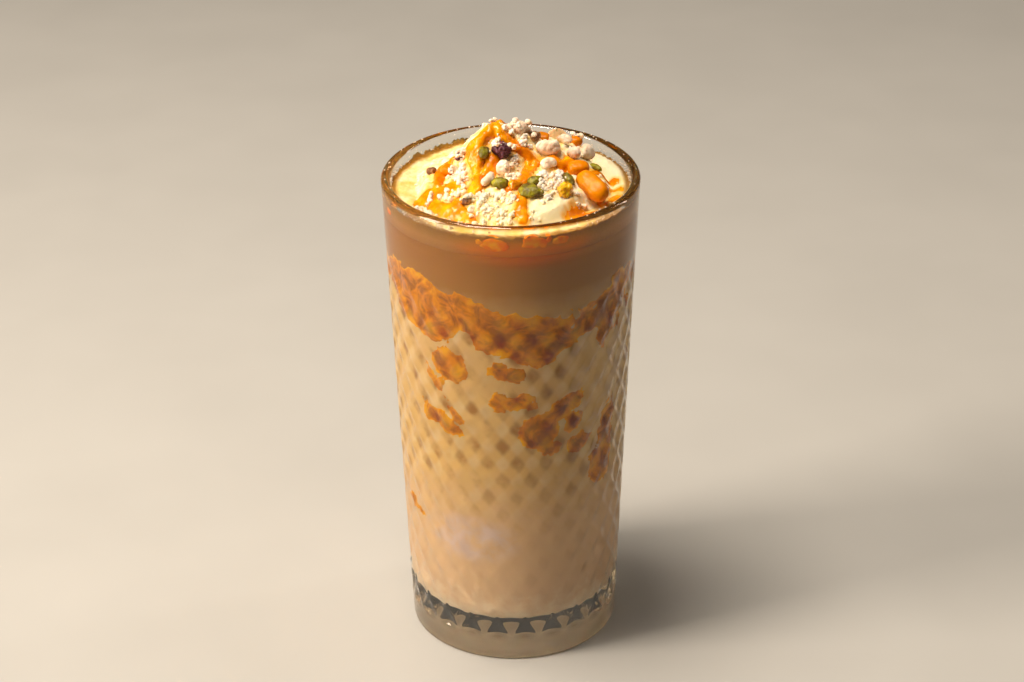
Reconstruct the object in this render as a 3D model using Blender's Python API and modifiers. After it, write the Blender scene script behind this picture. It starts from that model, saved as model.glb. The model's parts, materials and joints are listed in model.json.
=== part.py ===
# Falooda in a tall pressed glass: milk, mango puree on the wall, a cream layer and a heap of crumbs,
# nuts and fruit. Metres, +Z up, origin at the middle of the foot. Angles around the glass count from
# the front (-Y) towards +X.
import math
import random

import bmesh
import bpy
import numpy as np
from mathutils import Matrix, Vector, noise

MM = 0.001
GAP = 0.3 * MM

# Glass
GLASS_HEIGHT = 150 * MM
FOOT_RADIUS = 32 * MM
RIM_RADIUS = 38 * MM
RIM_WALL = 2.8 * MM
FOOT_CORNER = 1.2 * MM
RECESS_RADIUS = 23 * MM
RECESS_DEPTH = 0.8 * MM
INNER_FLOOR = 12.8 * MM
INNER_CORNER = 5 * MM
INNER_BASE_RADIUS = 28.9 * MM
SIDES = 48

# Diamond cuts in the glass: rows of crossings, every second row shifted by half a diamond
CUT_START = 9 * MM
CUT_PITCH = 6.05 * MM
CUT_ROWS = 20
CUT_DEPTH = 0.8 * MM
CUT_FADE_ROWS = 3
CUT_TURN = math.radians(-1.7)

# Levels of the contents
MILK_TOP = 140 * MM
CREAM_SEAT = 145.2 * MM
HEAP_BASE = CREAM_SEAT + GAP
CREAM_EDGE = 0.7 * MM
CREAM_RINGS = (0, 0.6, 1, 1.22, 1.45, 1.7, 2)

# Mango puree smeared on the wall: angle in degrees, lower and upper edge of the band in mm
PUREE_DEPTH = 1.8 * MM
BAND_EDGES = [(-180, 108, 123), (-150, 112, 126), (-120, 109, 124), (-95, 116, 127), (-78, 119, 128),
              (-64, 113, 129), (-50, 110, 129), (-34, 110, 127), (-25, 114, 127), (-18, 109, 126),
              (-4, 108, 122), (12, 104, 120), (24, 106, 119), (38, 110, 120), (50, 104, 124),
              (60, 108, 127), (78, 117, 127), (100, 112, 125), (128, 107, 121), (155, 111, 125)]

# Loose smears below the band: angle, then height, width and tallness in mm, and slant in degrees
SMEARS = [(-33, 101, 10, 12, -10), (-39, 82, 15, 7, -24), (-3, 101, 9, 4.2, 8), (1, 91, 11, 4.6, -6),
          (17, 83, 15, 11, 34), (37, 75, 8, 5, 10), (56, 69, 10, 19, -12), (-66, 46, 9, 4, -20),
          (128, 90, 12, 7, 18), (-145, 84, 13, 6, -14)]

# Heap: centre x and y, radius, height and sharpness of each rounded lobe, in mm. Its outline has
# waves: how many round it, shift and height.
HEAP_LOBES = [(2, 0, 31, 7.4, 1.0), (-4.5, 5, 13.5, 10.0, 1.25), (12.5, 7.5, 13, 4.8, 1.2),
              (-2, -3.5, 6.5, -2.5, 1.0)]
HEAP_RADIUS = 28.5 * MM
HEAP_WAVES = ((3, 0.8, 1.1 * MM), (5, 2.1, 0.8 * MM))
HEAP_LIP = 0.8 * MM
HEAP_SIDES = 30
HEAP_RINGS = 7
BUMP_HEIGHT = 0.45 * MM
BUMP_SIZE = 3.2 * MM

# Puffed bank of cream by the right wall: angle from +X, half its spread, height, and how far the
# heap draws in beside it. The rest of the cream has low billows.
PUFF_ANGLE = math.radians(26)
PUFF_SPREAD = math.radians(24)
PUFF_HEIGHT = 2.2 * MM
PUFF_DENT = 3.4 * MM
BILLOW_HEIGHT = 0.35 * MM

# Crumb clusters on the heap: x, y and spread in mm, and number of crumbs
CRUMB_CLUSTERS = [(-14.2, -4, 3.8, 5), (-4, -20, 5.6, 5), (11.2, -12.6, 4.0, 4), (1, -4, 3.0, 2),
                  (2, 5, 3.0, 3), (7, 11, 3.6, 2), (-13, 12, 5.0, 3), (-3, 18, 5.0, 3),
                  (12, 19, 4.6, 2), (-21, -17, 3.0, 2), (6, -24, 3.0, 2), (-19.5, -13.6, 2.0, 1)]
CRUMB_RADIUS = (1.2, 2.1)
CRUMB_SEED = 11

# Mango sauce lines on the heap: tube radius, then the x and y that each one runs through, in mm
SAUCE_LINES = [
    (1.35, [(-9.8, -14.6), (-9.5, -9.5), (-9.9, -5.0), (-10.6, -1.6), (-10.0, 0.6), (-7.2, 1.8), (-4.6, 3.6)]),
    (1.3, [(-4.6, 3.6), (-2.8, 1.6), (-0.4, 0.2), (2.2, -0.6), (4.8, -1.4), (6.4, -2.6)]),
    (1.2, [(-17.4, 5.6), (-19.6, 2.6), (-21.0, -2.7), (-21.4, -7.6)]),
    (1.3, [(-16.6, -11.0), (-20.4, -10.2), (-24.2, -9.4)]),
    (1.2, [(-21.4, -15.2), (-18.2, -18.6), (-14.6, -22.2)]),
    (1.1, [(5.6, -3.8), (4.4, -7.4), (3.8, -10.4)]),
    (1.1, [(2.8, -20.4), (3.0, -24.4)]),
    (1.2, [(13.4, -21.6), (16.8, -19.4), (19.4, -16.8)]),
    (1.0, [(-3, 8.5), (-1.5, 13), (1.5, 18)]),
]
SAUCE_STEP = 3.2

# Toppings: name, form, x, y, height of the middle above the bare heap, length, width and thickness
# in mm, turn and tilt in degrees, finish
TOPPINGS = [
    ("mango_chunk_1", "chunk", 23.5, -11.2, 1.3, 11.8, 6.0, 5.2, -50, 24, "mango"),
    ("mango_chunk_2", "chunk", 19.8, -2.9, 1.2, 6.4, 4.8, 4.4, 8, 14, "mango"),
    ("mango_chunk_3", "chunk", 19.4, 13.2, 1.8, 3.6, 3.2, 3.0, 30, 10, "mango"),
    ("mango_chunk_4", "chunk", -18.4, -0.6, 0.8, 4.6, 3.8, 3.0, 70, 12, "mango"),
    ("mango_chunk_5", "chunk", 9.4, 8.4, 0.6, 4.4, 3.2, 2.2, -20, 18, "mango"),
    ("raisin_golden", "wrinkled", 15.6, -15.2, 0.8, 5.2, 3.8, 3.4, 70, 16, "golden_raisin"),
    ("raisin_dark", "wrinkled", -2.8, -2.4, 1.3, 6.4, 5.0, 4.0, -25, 20, "dark_raisin"),
    ("raisin_sliver", "wrinkled", -14.6, 1.4, 0.6, 5.4, 1.9, 1.9, 62, 20, "dark_raisin"),
    ("pistachio_1", "kernel", 5.7, -17.6, 0.9, 7.6, 5.0, 3.4, -8, 20, "pistachio"),
    ("pistachio_2", "kernel", -3.0, -13.6, 0.8, 5.2, 3.6, 3.0, -4, 16, "pistachio"),
    ("pistachio_3", "kernel", 7.2, -12.2, 0.5, 4.6, 3.0, 2.4, 25, 10, "pistachio"),
    ("pistachio_4", "kernel", 16.8, -9.5, 1.0, 5.8, 2.2, 2.4, -60, 30, "pistachio"),
    ("pistachio_5", "kernel", 25.0, 3.2, 0.6, 5.0, 2.0, 1.8, -48, 10, "pistachio"),
    ("pistachio_6", "kernel", -7.7, -3.0, 0.6, 5.4, 2.4, 2.0, 80, 34, "pistachio"),
    ("almond_slice", "slice", 13.8, 11.8, -0.4, 7.2, 7.0, 1.1, 10, 68, "almond"),
    ("nut_brown", "kernel", 7.1, 4.7, 0.6, 4.4, 3.2, 3.0, 50, 20, "brown_nut"),
    ("nut_sauced", "kernel", 1.2, -14.6, 0.6, 3.8, 3.0, 2.8, 20, 10, "sauced_nut"),
    ("nut_small", "kernel", -23.3, 3.4, 0.5, 3.2, 2.6, 2.2, 15, 0, "brown_nut"),
    ("nut_cluster", "kernel", -12.4, -19.0, 0.6, 3.6, 2.6, 2.4, 40, 0, "brown_nut"),
    ("nugget_1", "nugget", 11.1, 0.7, 1.5, 7.2, 4.2, 4.2, 4, 8, "milk_crumb"),
    ("nugget_2", "nugget", 18.4, 1.8, 1.2, 4.0, 3.4, 3.4, -20, 10, "milk_crumb"),
    ("nugget_3", "nugget", 22.4, 7.0, 1.6, 4.6, 4.4, 4.4, 35, 0, "milk_crumb"),
    ("nugget_4", "nugget", -2.1, -6.4, 1.4, 4.4, 4.2, 4.4, 0, 0, "milk_crumb"),
    ("nugget_5", "nugget", 2.8, 4.7, 0.7, 5.2, 4.4, 3.6, 60, 0, "milk_crumb"),
    ("nugget_6", "nugget", 11.0, -4.0, 1.3, 4.6, 3.2, 3.2, 15, 0, "milk_crumb"),
    ("nugget_7", "nugget", -6.4, -11.2, 1.0, 6.4, 2.6, 2.8, 66, 0, "milk_crumb"),
    ("nugget_8", "nugget", 16.0, 6.4, 1.6, 5.0, 2.6, 2.8, -24, 0, "milk_crumb"),
]

# How far the outer end of a long piece dips down the slope, in degrees
DIPS = {"mango_chunk_1": 18, "pistachio_4": 14, "nugget_7": -14}

COLOURS = {
    "glass": ((0.93, 0.95, 0.94), 0.03),
    "milk": ((0.82, 0.60, 0.36), 0.35),
    "puree": ((0.86, 0.42, 0.03), 0.25),
    "cream": ((0.97, 0.90, 0.66), 0.45),
    "crumb": ((0.88, 0.78, 0.62), 0.75),
    "mango": ((0.90, 0.36, 0.02), 0.18),
    "golden_raisin": ((0.75, 0.45, 0.04), 0.3),
    "dark_raisin": ((0.07, 0.02, 0.02), 0.45),
    "pistachio": ((0.20, 0.25, 0.03), 0.5),
    "almond": ((0.72, 0.46, 0.24), 0.55),
    "brown_nut": ((0.28, 0.15, 0.06), 0.55),
    "sauced_nut": ((0.62, 0.28, 0.03), 0.3),
    "milk_crumb": ((0.84, 0.74, 0.64), 0.7),
}


def outer_radius(z):
    return FOOT_RADIUS + (RIM_RADIUS - FOOT_RADIUS) * z / GLASS_HEIGHT


def inner_radius(z):
    corner_top = INNER_FLOOR + INNER_CORNER
    share = (z - corner_top) / (GLASS_HEIGHT - corner_top)
    return INNER_BASE_RADIUS + (RIM_RADIUS - RIM_WALL - INNER_BASE_RADIUS) * share


def arc(centre_r, centre_z, radius, start, stop, steps):
    points = []
    for i in range(steps + 1):
        angle = math.radians(start + (stop - start) * i / steps)
        points.append((centre_r + radius * math.cos(angle), centre_z + radius * math.sin(angle)))
    return points


def clear_scene():
    for obj in list(bpy.data.objects):
        bpy.data.objects.remove(obj, do_unlink=True)


def collection(name):
    group = bpy.data.collections.new(name)
    bpy.context.scene.collection.children.link(group)
    return group


def material(name):
    found = bpy.data.materials.get(name)
    if found:
        return found
    colour, roughness = COLOURS[name]
    made = bpy.data.materials.new(name)
    made.use_nodes = True
    shader = made.node_tree.nodes["Principled BSDF"]
    shader.inputs["Base Color"].default_value = (*colour, 1)
    shader.inputs["Roughness"].default_value = roughness
    shader.inputs["Metallic"].default_value = 0
    if name == "glass":
        shader.inputs["Transmission Weight"].default_value = 1
    return made


def add_object(name, mesh, finish, group):
    obj = bpy.data.objects.new(name, mesh)
    group.objects.link(obj)
    mesh.materials.append(material(finish))
    return obj


def add_from_bmesh(name, bm, finish, group):
    bmesh.ops.triangulate(bm, faces=bm.faces)
    mesh = bpy.data.meshes.new(name)
    bm.to_mesh(mesh)
    bm.free()
    return add_object(name, mesh, finish, group)


def applied(obj):
    # Puts the evaluated shape of an object into a plain mesh and drops its modifiers.
    bpy.context.view_layer.update()
    shown = obj.evaluated_get(bpy.context.evaluated_depsgraph_get())
    mesh = bpy.data.meshes.new_from_object(shown)
    obj.modifiers.clear()
    obj.data = mesh
    return obj


def turned(name, profile, finish, group, sides=SIDES):
    # The profile runs out along the top, down the outer side and back to the axis.
    mesh = bpy.data.meshes.new(name)
    points = [(r, 0, z) for r, z in profile]
    mesh.from_pydata(points, [(i, i + 1) for i in range(len(points) - 1)], [])
    obj = add_object(name, mesh, finish, group)
    screw = obj.modifiers.new("turn", "SCREW")
    screw.axis = "Z"
    screw.steps = sides
    screw.render_steps = sides
    screw.use_merge_vertices = True
    screw.merge_threshold = 0.00001
    screw.use_smooth_shade = True
    return applied(obj)


def mesh_of(obj):
    bm = bmesh.new()
    bm.from_mesh(obj.data)
    return bm


def put_back(bm, obj):
    bmesh.ops.triangulate(bm, faces=bm.faces)
    bmesh.ops.recalc_face_normals(bm, faces=bm.faces)
    bm.to_mesh(obj.data)
    bm.free()
    obj.data.update()


def on_wall(angle, radius, z):
    turn = math.radians(angle)
    return Vector((radius * math.sin(turn), -radius * math.cos(turn), z))


def make_glass(group):
    corner_r = INNER_BASE_RADIUS - INNER_CORNER
    corner_z = INNER_FLOOR + INNER_CORNER
    rim_half = RIM_WALL / 2
    rim_r = RIM_RADIUS - rim_half
    rim_z = GLASS_HEIGHT - rim_half
    profile = [(0, INNER_FLOOR)]
    profile += arc(corner_r, corner_z, INNER_CORNER, -90, 0, 3)
    profile += [(inner_radius(CREAM_SEAT), CREAM_SEAT)]
    profile += arc(rim_r, rim_z, rim_half, 180, 0, 4)
    for row in reversed(range(CUT_ROWS)):
        z = CUT_START + CUT_PITCH * row
        profile.append((outer_radius(z), z))
    profile += arc(FOOT_RADIUS - FOOT_CORNER, FOOT_CORNER, FOOT_CORNER, 0, -90, 2)
    profile += [(RECESS_RADIUS + RECESS_DEPTH, 0), (RECESS_RADIUS, RECESS_DEPTH), (0, RECESS_DEPTH)]
    glass = turned("glass", profile, "glass", group)
    bm = mesh_of(glass)
    crossings = []
    for vert in bm.verts:
        row = round((vert.co.z - CUT_START) / CUT_PITCH)
        radius = vert.co.xy.length
        level = CUT_START + CUT_PITCH * row
        if not 0 <= row < CUT_ROWS or abs(vert.co.z - level) > GAP or radius < outer_radius(level) - GAP:
            continue
        column = round(math.atan2(vert.co.y, vert.co.x) / (math.tau / SIDES))
        if (row + column) % 2 == 0:
            crossings.append(vert)
        elif row > 0:
            fade = min(1, (CUT_ROWS - 1 - row) / CUT_FADE_ROWS)
            vert.co.xy *= 1 - CUT_DEPTH * fade / radius
    bmesh.ops.connect_verts(bm, verts=crossings)
    put_back(bm, glass)
    glass.data.transform(Matrix.Rotation(CUT_TURN, 4, "Z"))
    return glass


def band_edges(angle):
    # Smooth lower and upper edge of the puree band at an angle.
    points = BAND_EDGES + [(BAND_EDGES[0][0] + 360, *BAND_EDGES[0][1:])]
    angle = (angle + 180) % 360 - 180
    for (a0, low0, high0), (a1, low1, high1) in zip(points, points[1:]):
        if a0 <= angle <= a1:
            share = (angle - a0) / (a1 - a0)
            share = share * share * (3 - 2 * share)
            return (low0 + (low1 - low0) * share) * MM, (high0 + (high1 - high0) * share) * MM
    return BAND_EDGES[0][1] * MM, BAND_EDGES[0][2] * MM


def puree_ring(name, group, grow=0.0):
    # An open strip on the wall, thickened inwards. grow makes the pocket for it in the milk.
    rows = 2
    bm = bmesh.new()
    ring = []
    for i in range(SIDES):
        angle = i * 360 / SIDES + math.degrees(CUT_TURN)
        low, high = band_edges(angle)
        column = []
        for j in range(rows + 1):
            z = low - grow + (high - low + 2 * grow) * j / rows
            radius = inner_radius(z) - GAP + 3 * grow
            column.append(bm.verts.new(on_wall(angle, radius, z)))
        ring.append(column)
    for i, column in enumerate(ring):
        after = ring[(i + 1) % SIDES]
        for j in range(rows):
            bm.faces.new((column[j], after[j], after[j + 1], column[j + 1]))
    obj = add_from_bmesh(name, bm, "puree", group)
    shell = obj.modifiers.new("depth", "SOLIDIFY")
    shell.thickness = PUREE_DEPTH + 4 * grow
    shell.offset = -1
    shell.use_even_offset = True
    applied(obj)
    put_back(mesh_of(obj), obj)
    return obj


def puree_smear(name, group, place, grow=0.0):
    # Half of a flattened ball pressed on the wall. grow makes the pocket for it in the milk.
    angle, height, width, tall, slant = place
    bm = bmesh.new()
    bmesh.ops.create_uvsphere(bm, u_segments=8, v_segments=5, radius=1)
    slant = math.radians(slant)
    for vert in bm.verts:
        ragged = 1 + 0.16 * noise.noise(Vector((vert.co.x * 1.7, angle * 0.31, vert.co.z * 1.7)))
        along = vert.co.x * (width / 2 * MM * ragged + grow)
        up = vert.co.z * (tall / 2 * MM * ragged + grow)
        z = height * MM + up * math.cos(slant) + along * math.sin(slant)
        across = along * math.cos(slant) - up * math.sin(slant)
        wall = inner_radius(z) - GAP
        if vert.co.y > 0:
            radius = wall + vert.co.y * 5 * grow
        else:
            radius = wall + vert.co.y * (PUREE_DEPTH + grow)
        vert.co = on_wall(angle + math.degrees(across / wall), radius, z)
    bmesh.ops.reverse_faces(bm, faces=bm.faces)
    return add_from_bmesh(name, bm, "puree", group)


def boolean(obj, cutters, operation):
    # Joins or cuts with a whole collection, then removes the objects in it.
    step = obj.modifiers.new(operation.lower(), "BOOLEAN")
    step.operation = operation
    step.operand_type = "COLLECTION"
    step.collection = cutters
    applied(obj)
    for cutter in list(cutters.objects):
        bpy.data.objects.remove(cutter, do_unlink=True)


def keep_largest(obj):
    # Drops loose scraps that a cut leaves, keeping the body with the most faces.
    bm = mesh_of(obj)
    left = set(bm.faces)
    bodies = []
    while left:
        stack = [left.pop()]
        body = set(stack)
        while stack:
            face = stack.pop()
            for edge in face.edges:
                for near in edge.link_faces:
                    if near in left:
                        left.remove(near)
                        body.add(near)
                        stack.append(near)
        bodies.append(body)
    bodies.sort(key=len)
    for body in bodies[:-1]:
        bmesh.ops.delete(bm, geom=list(body), context="FACES")
    put_back(bm, obj)


def make_milk(group, cutters):
    corner_r = INNER_BASE_RADIUS - INNER_CORNER
    corner_z = INNER_FLOOR + INNER_CORNER
    profile = [(0, MILK_TOP), (inner_radius(MILK_TOP) - GAP, MILK_TOP)]
    profile += arc(corner_r, corner_z, INNER_CORNER - GAP, 0, -90, 3)
    profile += [(0, INNER_FLOOR + GAP)]
    milk = turned("milk", profile, "milk", group)
    milk.data.transform(Matrix.Rotation(CUT_TURN, 4, "Z"))
    puree_ring("band_pocket", cutters, grow=GAP)
    for number, place in enumerate(SMEARS, 1):
        puree_smear(f"smear_pocket_{number}", cutters, place, grow=GAP)
    boolean(milk, cutters, "DIFFERENCE")
    keep_largest(milk)
    return milk


def make_puree(group):
    puree_ring("puree_band", group)
    for number, place in enumerate(SMEARS, 1):
        puree_smear(f"puree_smear_{number}", group, place)


def heap_edge(angle):
    # Uneven outline of the heap, drawn in beside the puffed bank of cream.
    off = (angle - PUFF_ANGLE + math.pi) % math.tau - math.pi
    dent = PUFF_DENT * math.exp(-(off / PUFF_SPREAD) ** 2)
    wave = sum(height * math.sin(times * angle + shift) for times, shift, height in HEAP_WAVES)
    return HEAP_RADIUS + wave - dent


def heap_height(x, y):
    # Height of the bare heap above the bottom of the glass, at a place in metres.
    total = 0
    for cx, cy, radius, height, sharp in HEAP_LOBES:
        away = ((x / MM - cx) ** 2 + (y / MM - cy) ** 2) / radius ** 2
        total += height * max(0, 1 - away) ** sharp
    return HEAP_BASE + HEAP_LIP + total * MM


def heap_slope(x, y):
    # Upward normal of the bare heap.
    step = 0.8 * MM
    along_x = (heap_height(x + step, y) - heap_height(x - step, y)) / (2 * step)
    along_y = (heap_height(x, y + step) - heap_height(x, y - step)) / (2 * step)
    return Vector((-along_x, -along_y, 1)).normalized()


def make_cream(group):
    # Flat under the heap, rising in billows from the heap's edge to the wall. A share of 1 is the
    # heap's edge and 2 the wall.
    top_r = inner_radius(CREAM_SEAT) - GAP
    low_r = inner_radius(MILK_TOP + GAP) - GAP
    profile = [(top_r * share / 2, CREAM_SEAT) for share in CREAM_RINGS]
    profile += [(low_r, MILK_TOP + GAP), (0, MILK_TOP + GAP)]
    cream = turned("cream", profile, "cream", group)
    bm = mesh_of(cream)
    for vert in bm.verts:
        if vert.co.z < CREAM_SEAT - GAP or vert.co.xy.length < GAP:
            continue
        share = 2 * vert.co.xy.length / top_r
        angle = math.atan2(vert.co.y, vert.co.x)
        edge = heap_edge(angle + CUT_TURN) + 3 * GAP
        out = max(0, share - 1)
        radius = edge * min(1, share) + (top_r - edge) * out
        off = (angle - PUFF_ANGLE + math.pi) % math.tau - math.pi
        puff = PUFF_HEIGHT * math.exp(-(off / PUFF_SPREAD) ** 2)
        billow = BILLOW_HEIGHT * (1 + math.sin(4 * angle + 1))
        vert.co.xy *= radius / vert.co.xy.length
        vert.co.z += CREAM_EDGE * out ** 2 + (puff + billow) * math.sin(math.pi * out)
    put_back(bm, cream)
    cream.data.transform(Matrix.Rotation(CUT_TURN, 4, "Z"))
    return cream


def heap_core(group):
    rings = [i / HEAP_RINGS for i in range(HEAP_RINGS + 1)]
    profile = [(HEAP_RADIUS * share, HEAP_BASE + HEAP_LIP) for share in rings]
    profile += [(HEAP_RADIUS, HEAP_BASE), (0, HEAP_BASE)]
    core = turned("crumb_heap", profile, "crumb", group, HEAP_SIDES)
    bm = mesh_of(core)
    for vert in bm.verts:
        radius = vert.co.xy.length
        scale = heap_edge(math.atan2(vert.co.y, vert.co.x)) / HEAP_RADIUS
        vert.co.xy *= scale
        if vert.co.z > HEAP_BASE + HEAP_LIP / 2:
            bump = BUMP_HEIGHT * noise.noise(vert.co / BUMP_SIZE)
            inside = min(1, max(0, (HEAP_RADIUS - radius) / (2 * MM)))
            vert.co.z += (heap_height(vert.co.x, vert.co.y) - HEAP_BASE - HEAP_LIP + bump) * inside
    put_back(bm, core)
    return core


def add_crumbs(group):
    draw = random.Random(CRUMB_SEED)
    for cx, cy, spread, count in CRUMB_CLUSTERS:
        for _ in range(count):
            x = (cx + draw.gauss(0, spread / 2)) * MM
            y = (cy + draw.gauss(0, spread / 2)) * MM
            size = draw.uniform(*CRUMB_RADIUS) * MM
            turn = draw.uniform(0, math.tau)
            reach = heap_edge(math.atan2(y, x)) - 1.2 * size
            distance = math.hypot(x, y)
            if distance > reach:
                x *= reach / distance
                y *= reach / distance
            place = Vector((x, y, heap_height(x, y))) + heap_slope(x, y) * size * 0.35
            place.z = max(place.z, HEAP_BASE + 1.15 * size)
            bm = bmesh.new()
            bmesh.ops.create_icosphere(bm, subdivisions=1, radius=size)
            for vert in bm.verts:
                vert.co *= draw.uniform(0.82, 1.12)
            bm.transform(Matrix.Translation(place) @ Matrix.Rotation(turn, 4, (0.5, 0.3, 0.8)))
            add_from_bmesh("crumb", bm, "crumb", group)


def smooth_path(points):
    # Evenly spaced places on a smooth curve through the points.
    route = [points[0]] + list(points) + [points[-1]]
    places = []
    for before, start, end, after in zip(route, route[1:], route[2:], route[3:]):
        count = max(1, round(math.dist(start, end) / SAUCE_STEP))
        for i in range(count):
            t = i / count
            weights = (-t + 2 * t ** 2 - t ** 3, 2 - 5 * t ** 2 + 3 * t ** 3,
                       t + 4 * t ** 2 - 3 * t ** 3, t ** 3 - t ** 2)
            corners = np.array((before, start, end, after))
            places.append(tuple(np.dot(weights, corners) / 2))
    places.append(points[-1])
    return places


def add_sauce(group):
    for radius, points in SAUCE_LINES:
        curve = bpy.data.curves.new("sauce", "CURVE")
        curve.dimensions = "3D"
        curve.bevel_depth = radius * MM
        curve.bevel_resolution = 1
        curve.use_fill_caps = True
        places = smooth_path(points)
        spline = curve.splines.new("POLY")
        spline.points.add(len(places) - 1)
        for i, (x, y) in enumerate(places):
            z = max(heap_height(x * MM, y * MM) + 0.1 * MM, HEAP_BASE + 1.25 * radius * MM)
            spline.points[i].co = (x * MM, y * MM, z, 1)
            spline.points[i].radius = 1 + 0.2 * math.sin(2.3 * i)
        guide = bpy.data.objects.new("sauce", curve)
        group.objects.link(guide)
        bpy.context.view_layer.update()
        shown = guide.evaluated_get(bpy.context.evaluated_depsgraph_get())
        mesh = bpy.data.meshes.new_from_object(shown)
        bpy.data.objects.remove(guide, do_unlink=True)
        tube = add_object("sauce", mesh, "crumb", group)
        bm = mesh_of(tube)
        bmesh.ops.remove_doubles(bm, verts=bm.verts, dist=0.01 * MM)
        put_back(bm, tube)


def topping_form(form, length, width, thickness, seed):
    # A piece about the origin, its length along X and its thickness along Z.
    bm = bmesh.new()
    rough = {"chunk": 0.05, "wrinkled": 0.16, "kernel": 0.1, "slice": 0.0, "nugget": 0.14}[form]
    if form == "slice":
        bmesh.ops.create_cone(bm, cap_ends=True, segments=16, radius1=1, radius2=1, depth=2)
    elif form == "chunk":
        bmesh.ops.create_cube(bm, size=2)
        bmesh.ops.subdivide_edges(bm, edges=bm.edges, cuts=1, use_grid_fill=True)
        for vert in bm.verts:
            vert.co = vert.co.lerp(vert.co.normalized() * 1.15, 0.55)
    elif form == "nugget":
        bmesh.ops.create_uvsphere(bm, u_segments=8, v_segments=6, radius=1)
    else:
        bmesh.ops.create_uvsphere(bm, u_segments=8, v_segments=5, radius=1)
    for vert in bm.verts:
        if form == "kernel":
            vert.co.y *= 1 - 0.28 * vert.co.x
            vert.co.z = max(vert.co.z, -0.72)
        lumps = noise.noise(vert.co * 1.6 + Vector((seed * 3.1, seed * 1.7, 0)))
        vert.co *= 1 + rough * 2 * lumps
        vert.co.x *= length / 2 * MM
        vert.co.y *= width / 2 * MM
        vert.co.z *= thickness / 2 * MM
    return bm


def add_toppings(group, grow=0.0):
    # Every large topping in its place on the heap. grow makes its pocket in the heap.
    for seed, row in enumerate(TOPPINGS):
        name, form, x, y, lift, length, width, thickness, turn, tilt, finish = row
        bm = topping_form(form, length, width, thickness, seed)
        x *= MM
        y *= MM
        if grow:
            bm.normal_update()
            for vert, normal in [(vert, vert.normal.copy()) for vert in bm.verts]:
                vert.co += normal * grow * 1.25
        place = Vector((x, y, heap_height(x, y) + lift * MM))
        spin = Matrix.Rotation(math.radians(turn), 4, "Z") @ Matrix.Rotation(math.radians(DIPS.get(name, 0)), 4, "Y")
        spin = spin @ Matrix.Rotation(math.radians(tilt), 4, "X")
        bm.transform(Matrix.Translation(place) @ spin)
        obj = add_from_bmesh(name + ("_pocket" if grow else ""), bm, finish, group)
        obj.data.shade_smooth()


def make_heap(group, crumbs, cutters):
    heap = heap_core(group)
    add_crumbs(crumbs)
    add_sauce(crumbs)
    boolean(heap, crumbs, "UNION")
    add_toppings(cutters, grow=GAP)
    boolean(heap, cutters, "DIFFERENCE")
    keep_largest(heap)
    return heap


def main():
    clear_scene()
    falooda = collection("falooda")
    cutters = collection("cutters")
    crumbs = collection("crumbs")
    make_glass(falooda)
    make_milk(falooda, cutters)
    make_puree(falooda)
    make_cream(falooda)
    make_heap(falooda, crumbs, cutters)
    add_toppings(falooda)


main()
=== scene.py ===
# Falooda in a diamond-cut glass: fine meshes, materials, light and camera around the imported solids.
import json
import math
import random

import bmesh
import bpy
import numpy as np
from mathutils import Matrix, Vector, noise
from mathutils.bvhtree import BVHTree

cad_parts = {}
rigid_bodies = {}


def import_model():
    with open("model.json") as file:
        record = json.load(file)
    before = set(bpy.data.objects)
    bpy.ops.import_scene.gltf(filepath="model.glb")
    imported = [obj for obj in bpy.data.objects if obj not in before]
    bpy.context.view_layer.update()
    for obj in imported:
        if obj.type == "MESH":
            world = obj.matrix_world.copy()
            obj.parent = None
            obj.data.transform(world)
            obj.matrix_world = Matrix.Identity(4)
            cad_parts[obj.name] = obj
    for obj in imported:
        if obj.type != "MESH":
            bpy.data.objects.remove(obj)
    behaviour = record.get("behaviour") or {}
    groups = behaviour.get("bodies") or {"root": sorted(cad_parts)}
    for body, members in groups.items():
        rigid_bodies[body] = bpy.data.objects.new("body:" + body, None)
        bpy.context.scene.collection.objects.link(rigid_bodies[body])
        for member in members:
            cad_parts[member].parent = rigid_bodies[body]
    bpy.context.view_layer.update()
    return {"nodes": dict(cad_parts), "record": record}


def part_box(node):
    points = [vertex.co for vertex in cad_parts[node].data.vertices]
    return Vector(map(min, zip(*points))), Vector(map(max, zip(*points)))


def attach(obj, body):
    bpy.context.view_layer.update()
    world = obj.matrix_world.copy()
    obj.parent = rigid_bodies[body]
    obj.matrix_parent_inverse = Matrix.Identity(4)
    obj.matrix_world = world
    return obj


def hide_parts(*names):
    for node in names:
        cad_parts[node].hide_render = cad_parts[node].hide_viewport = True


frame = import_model()
mm = 0.001
body = "root"
print("frame loaded:", len(frame["nodes"]), "nodes")


# Shared tools

def toLinear(code):
    # sRGB hex to the linear colour that a shader wants
    parts = [int(code[i:i + 2], 16) / 255 for i in (0, 2, 4)]
    return tuple(p / 12.92 if p <= 0.04045 else ((p + 0.055) / 1.055) ** 2.4 for p in parts) + (1,)


def addNode(tree, kind, settings=None, links=None):
    # one node: settings are its own values, its sockets' or a ramp's stops, links say what feeds its sockets
    node = tree.nodes.new(kind)
    for key, value in (settings or {}).items():
        if key == "stops":
            for _ in value[2:]:
                node.color_ramp.elements.new(0.5)
            for element, (at, code) in zip(node.color_ramp.elements, value):
                element.position = at
                element.color = toLinear(code)
        elif isinstance(key, int) or key in node.inputs:
            node.inputs[key].default_value = value
        else:
            setattr(node, key, value)
    for key, source in (links or {}).items():
        tree.links.new(liveOutput(source), node.inputs[key])
    return node


def liveOutput(source):
    # a socket as it is, or the first output that a node has in use
    if isinstance(source, bpy.types.NodeSocket):
        return source
    return next(output for output in source.outputs if output.enabled)


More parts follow.
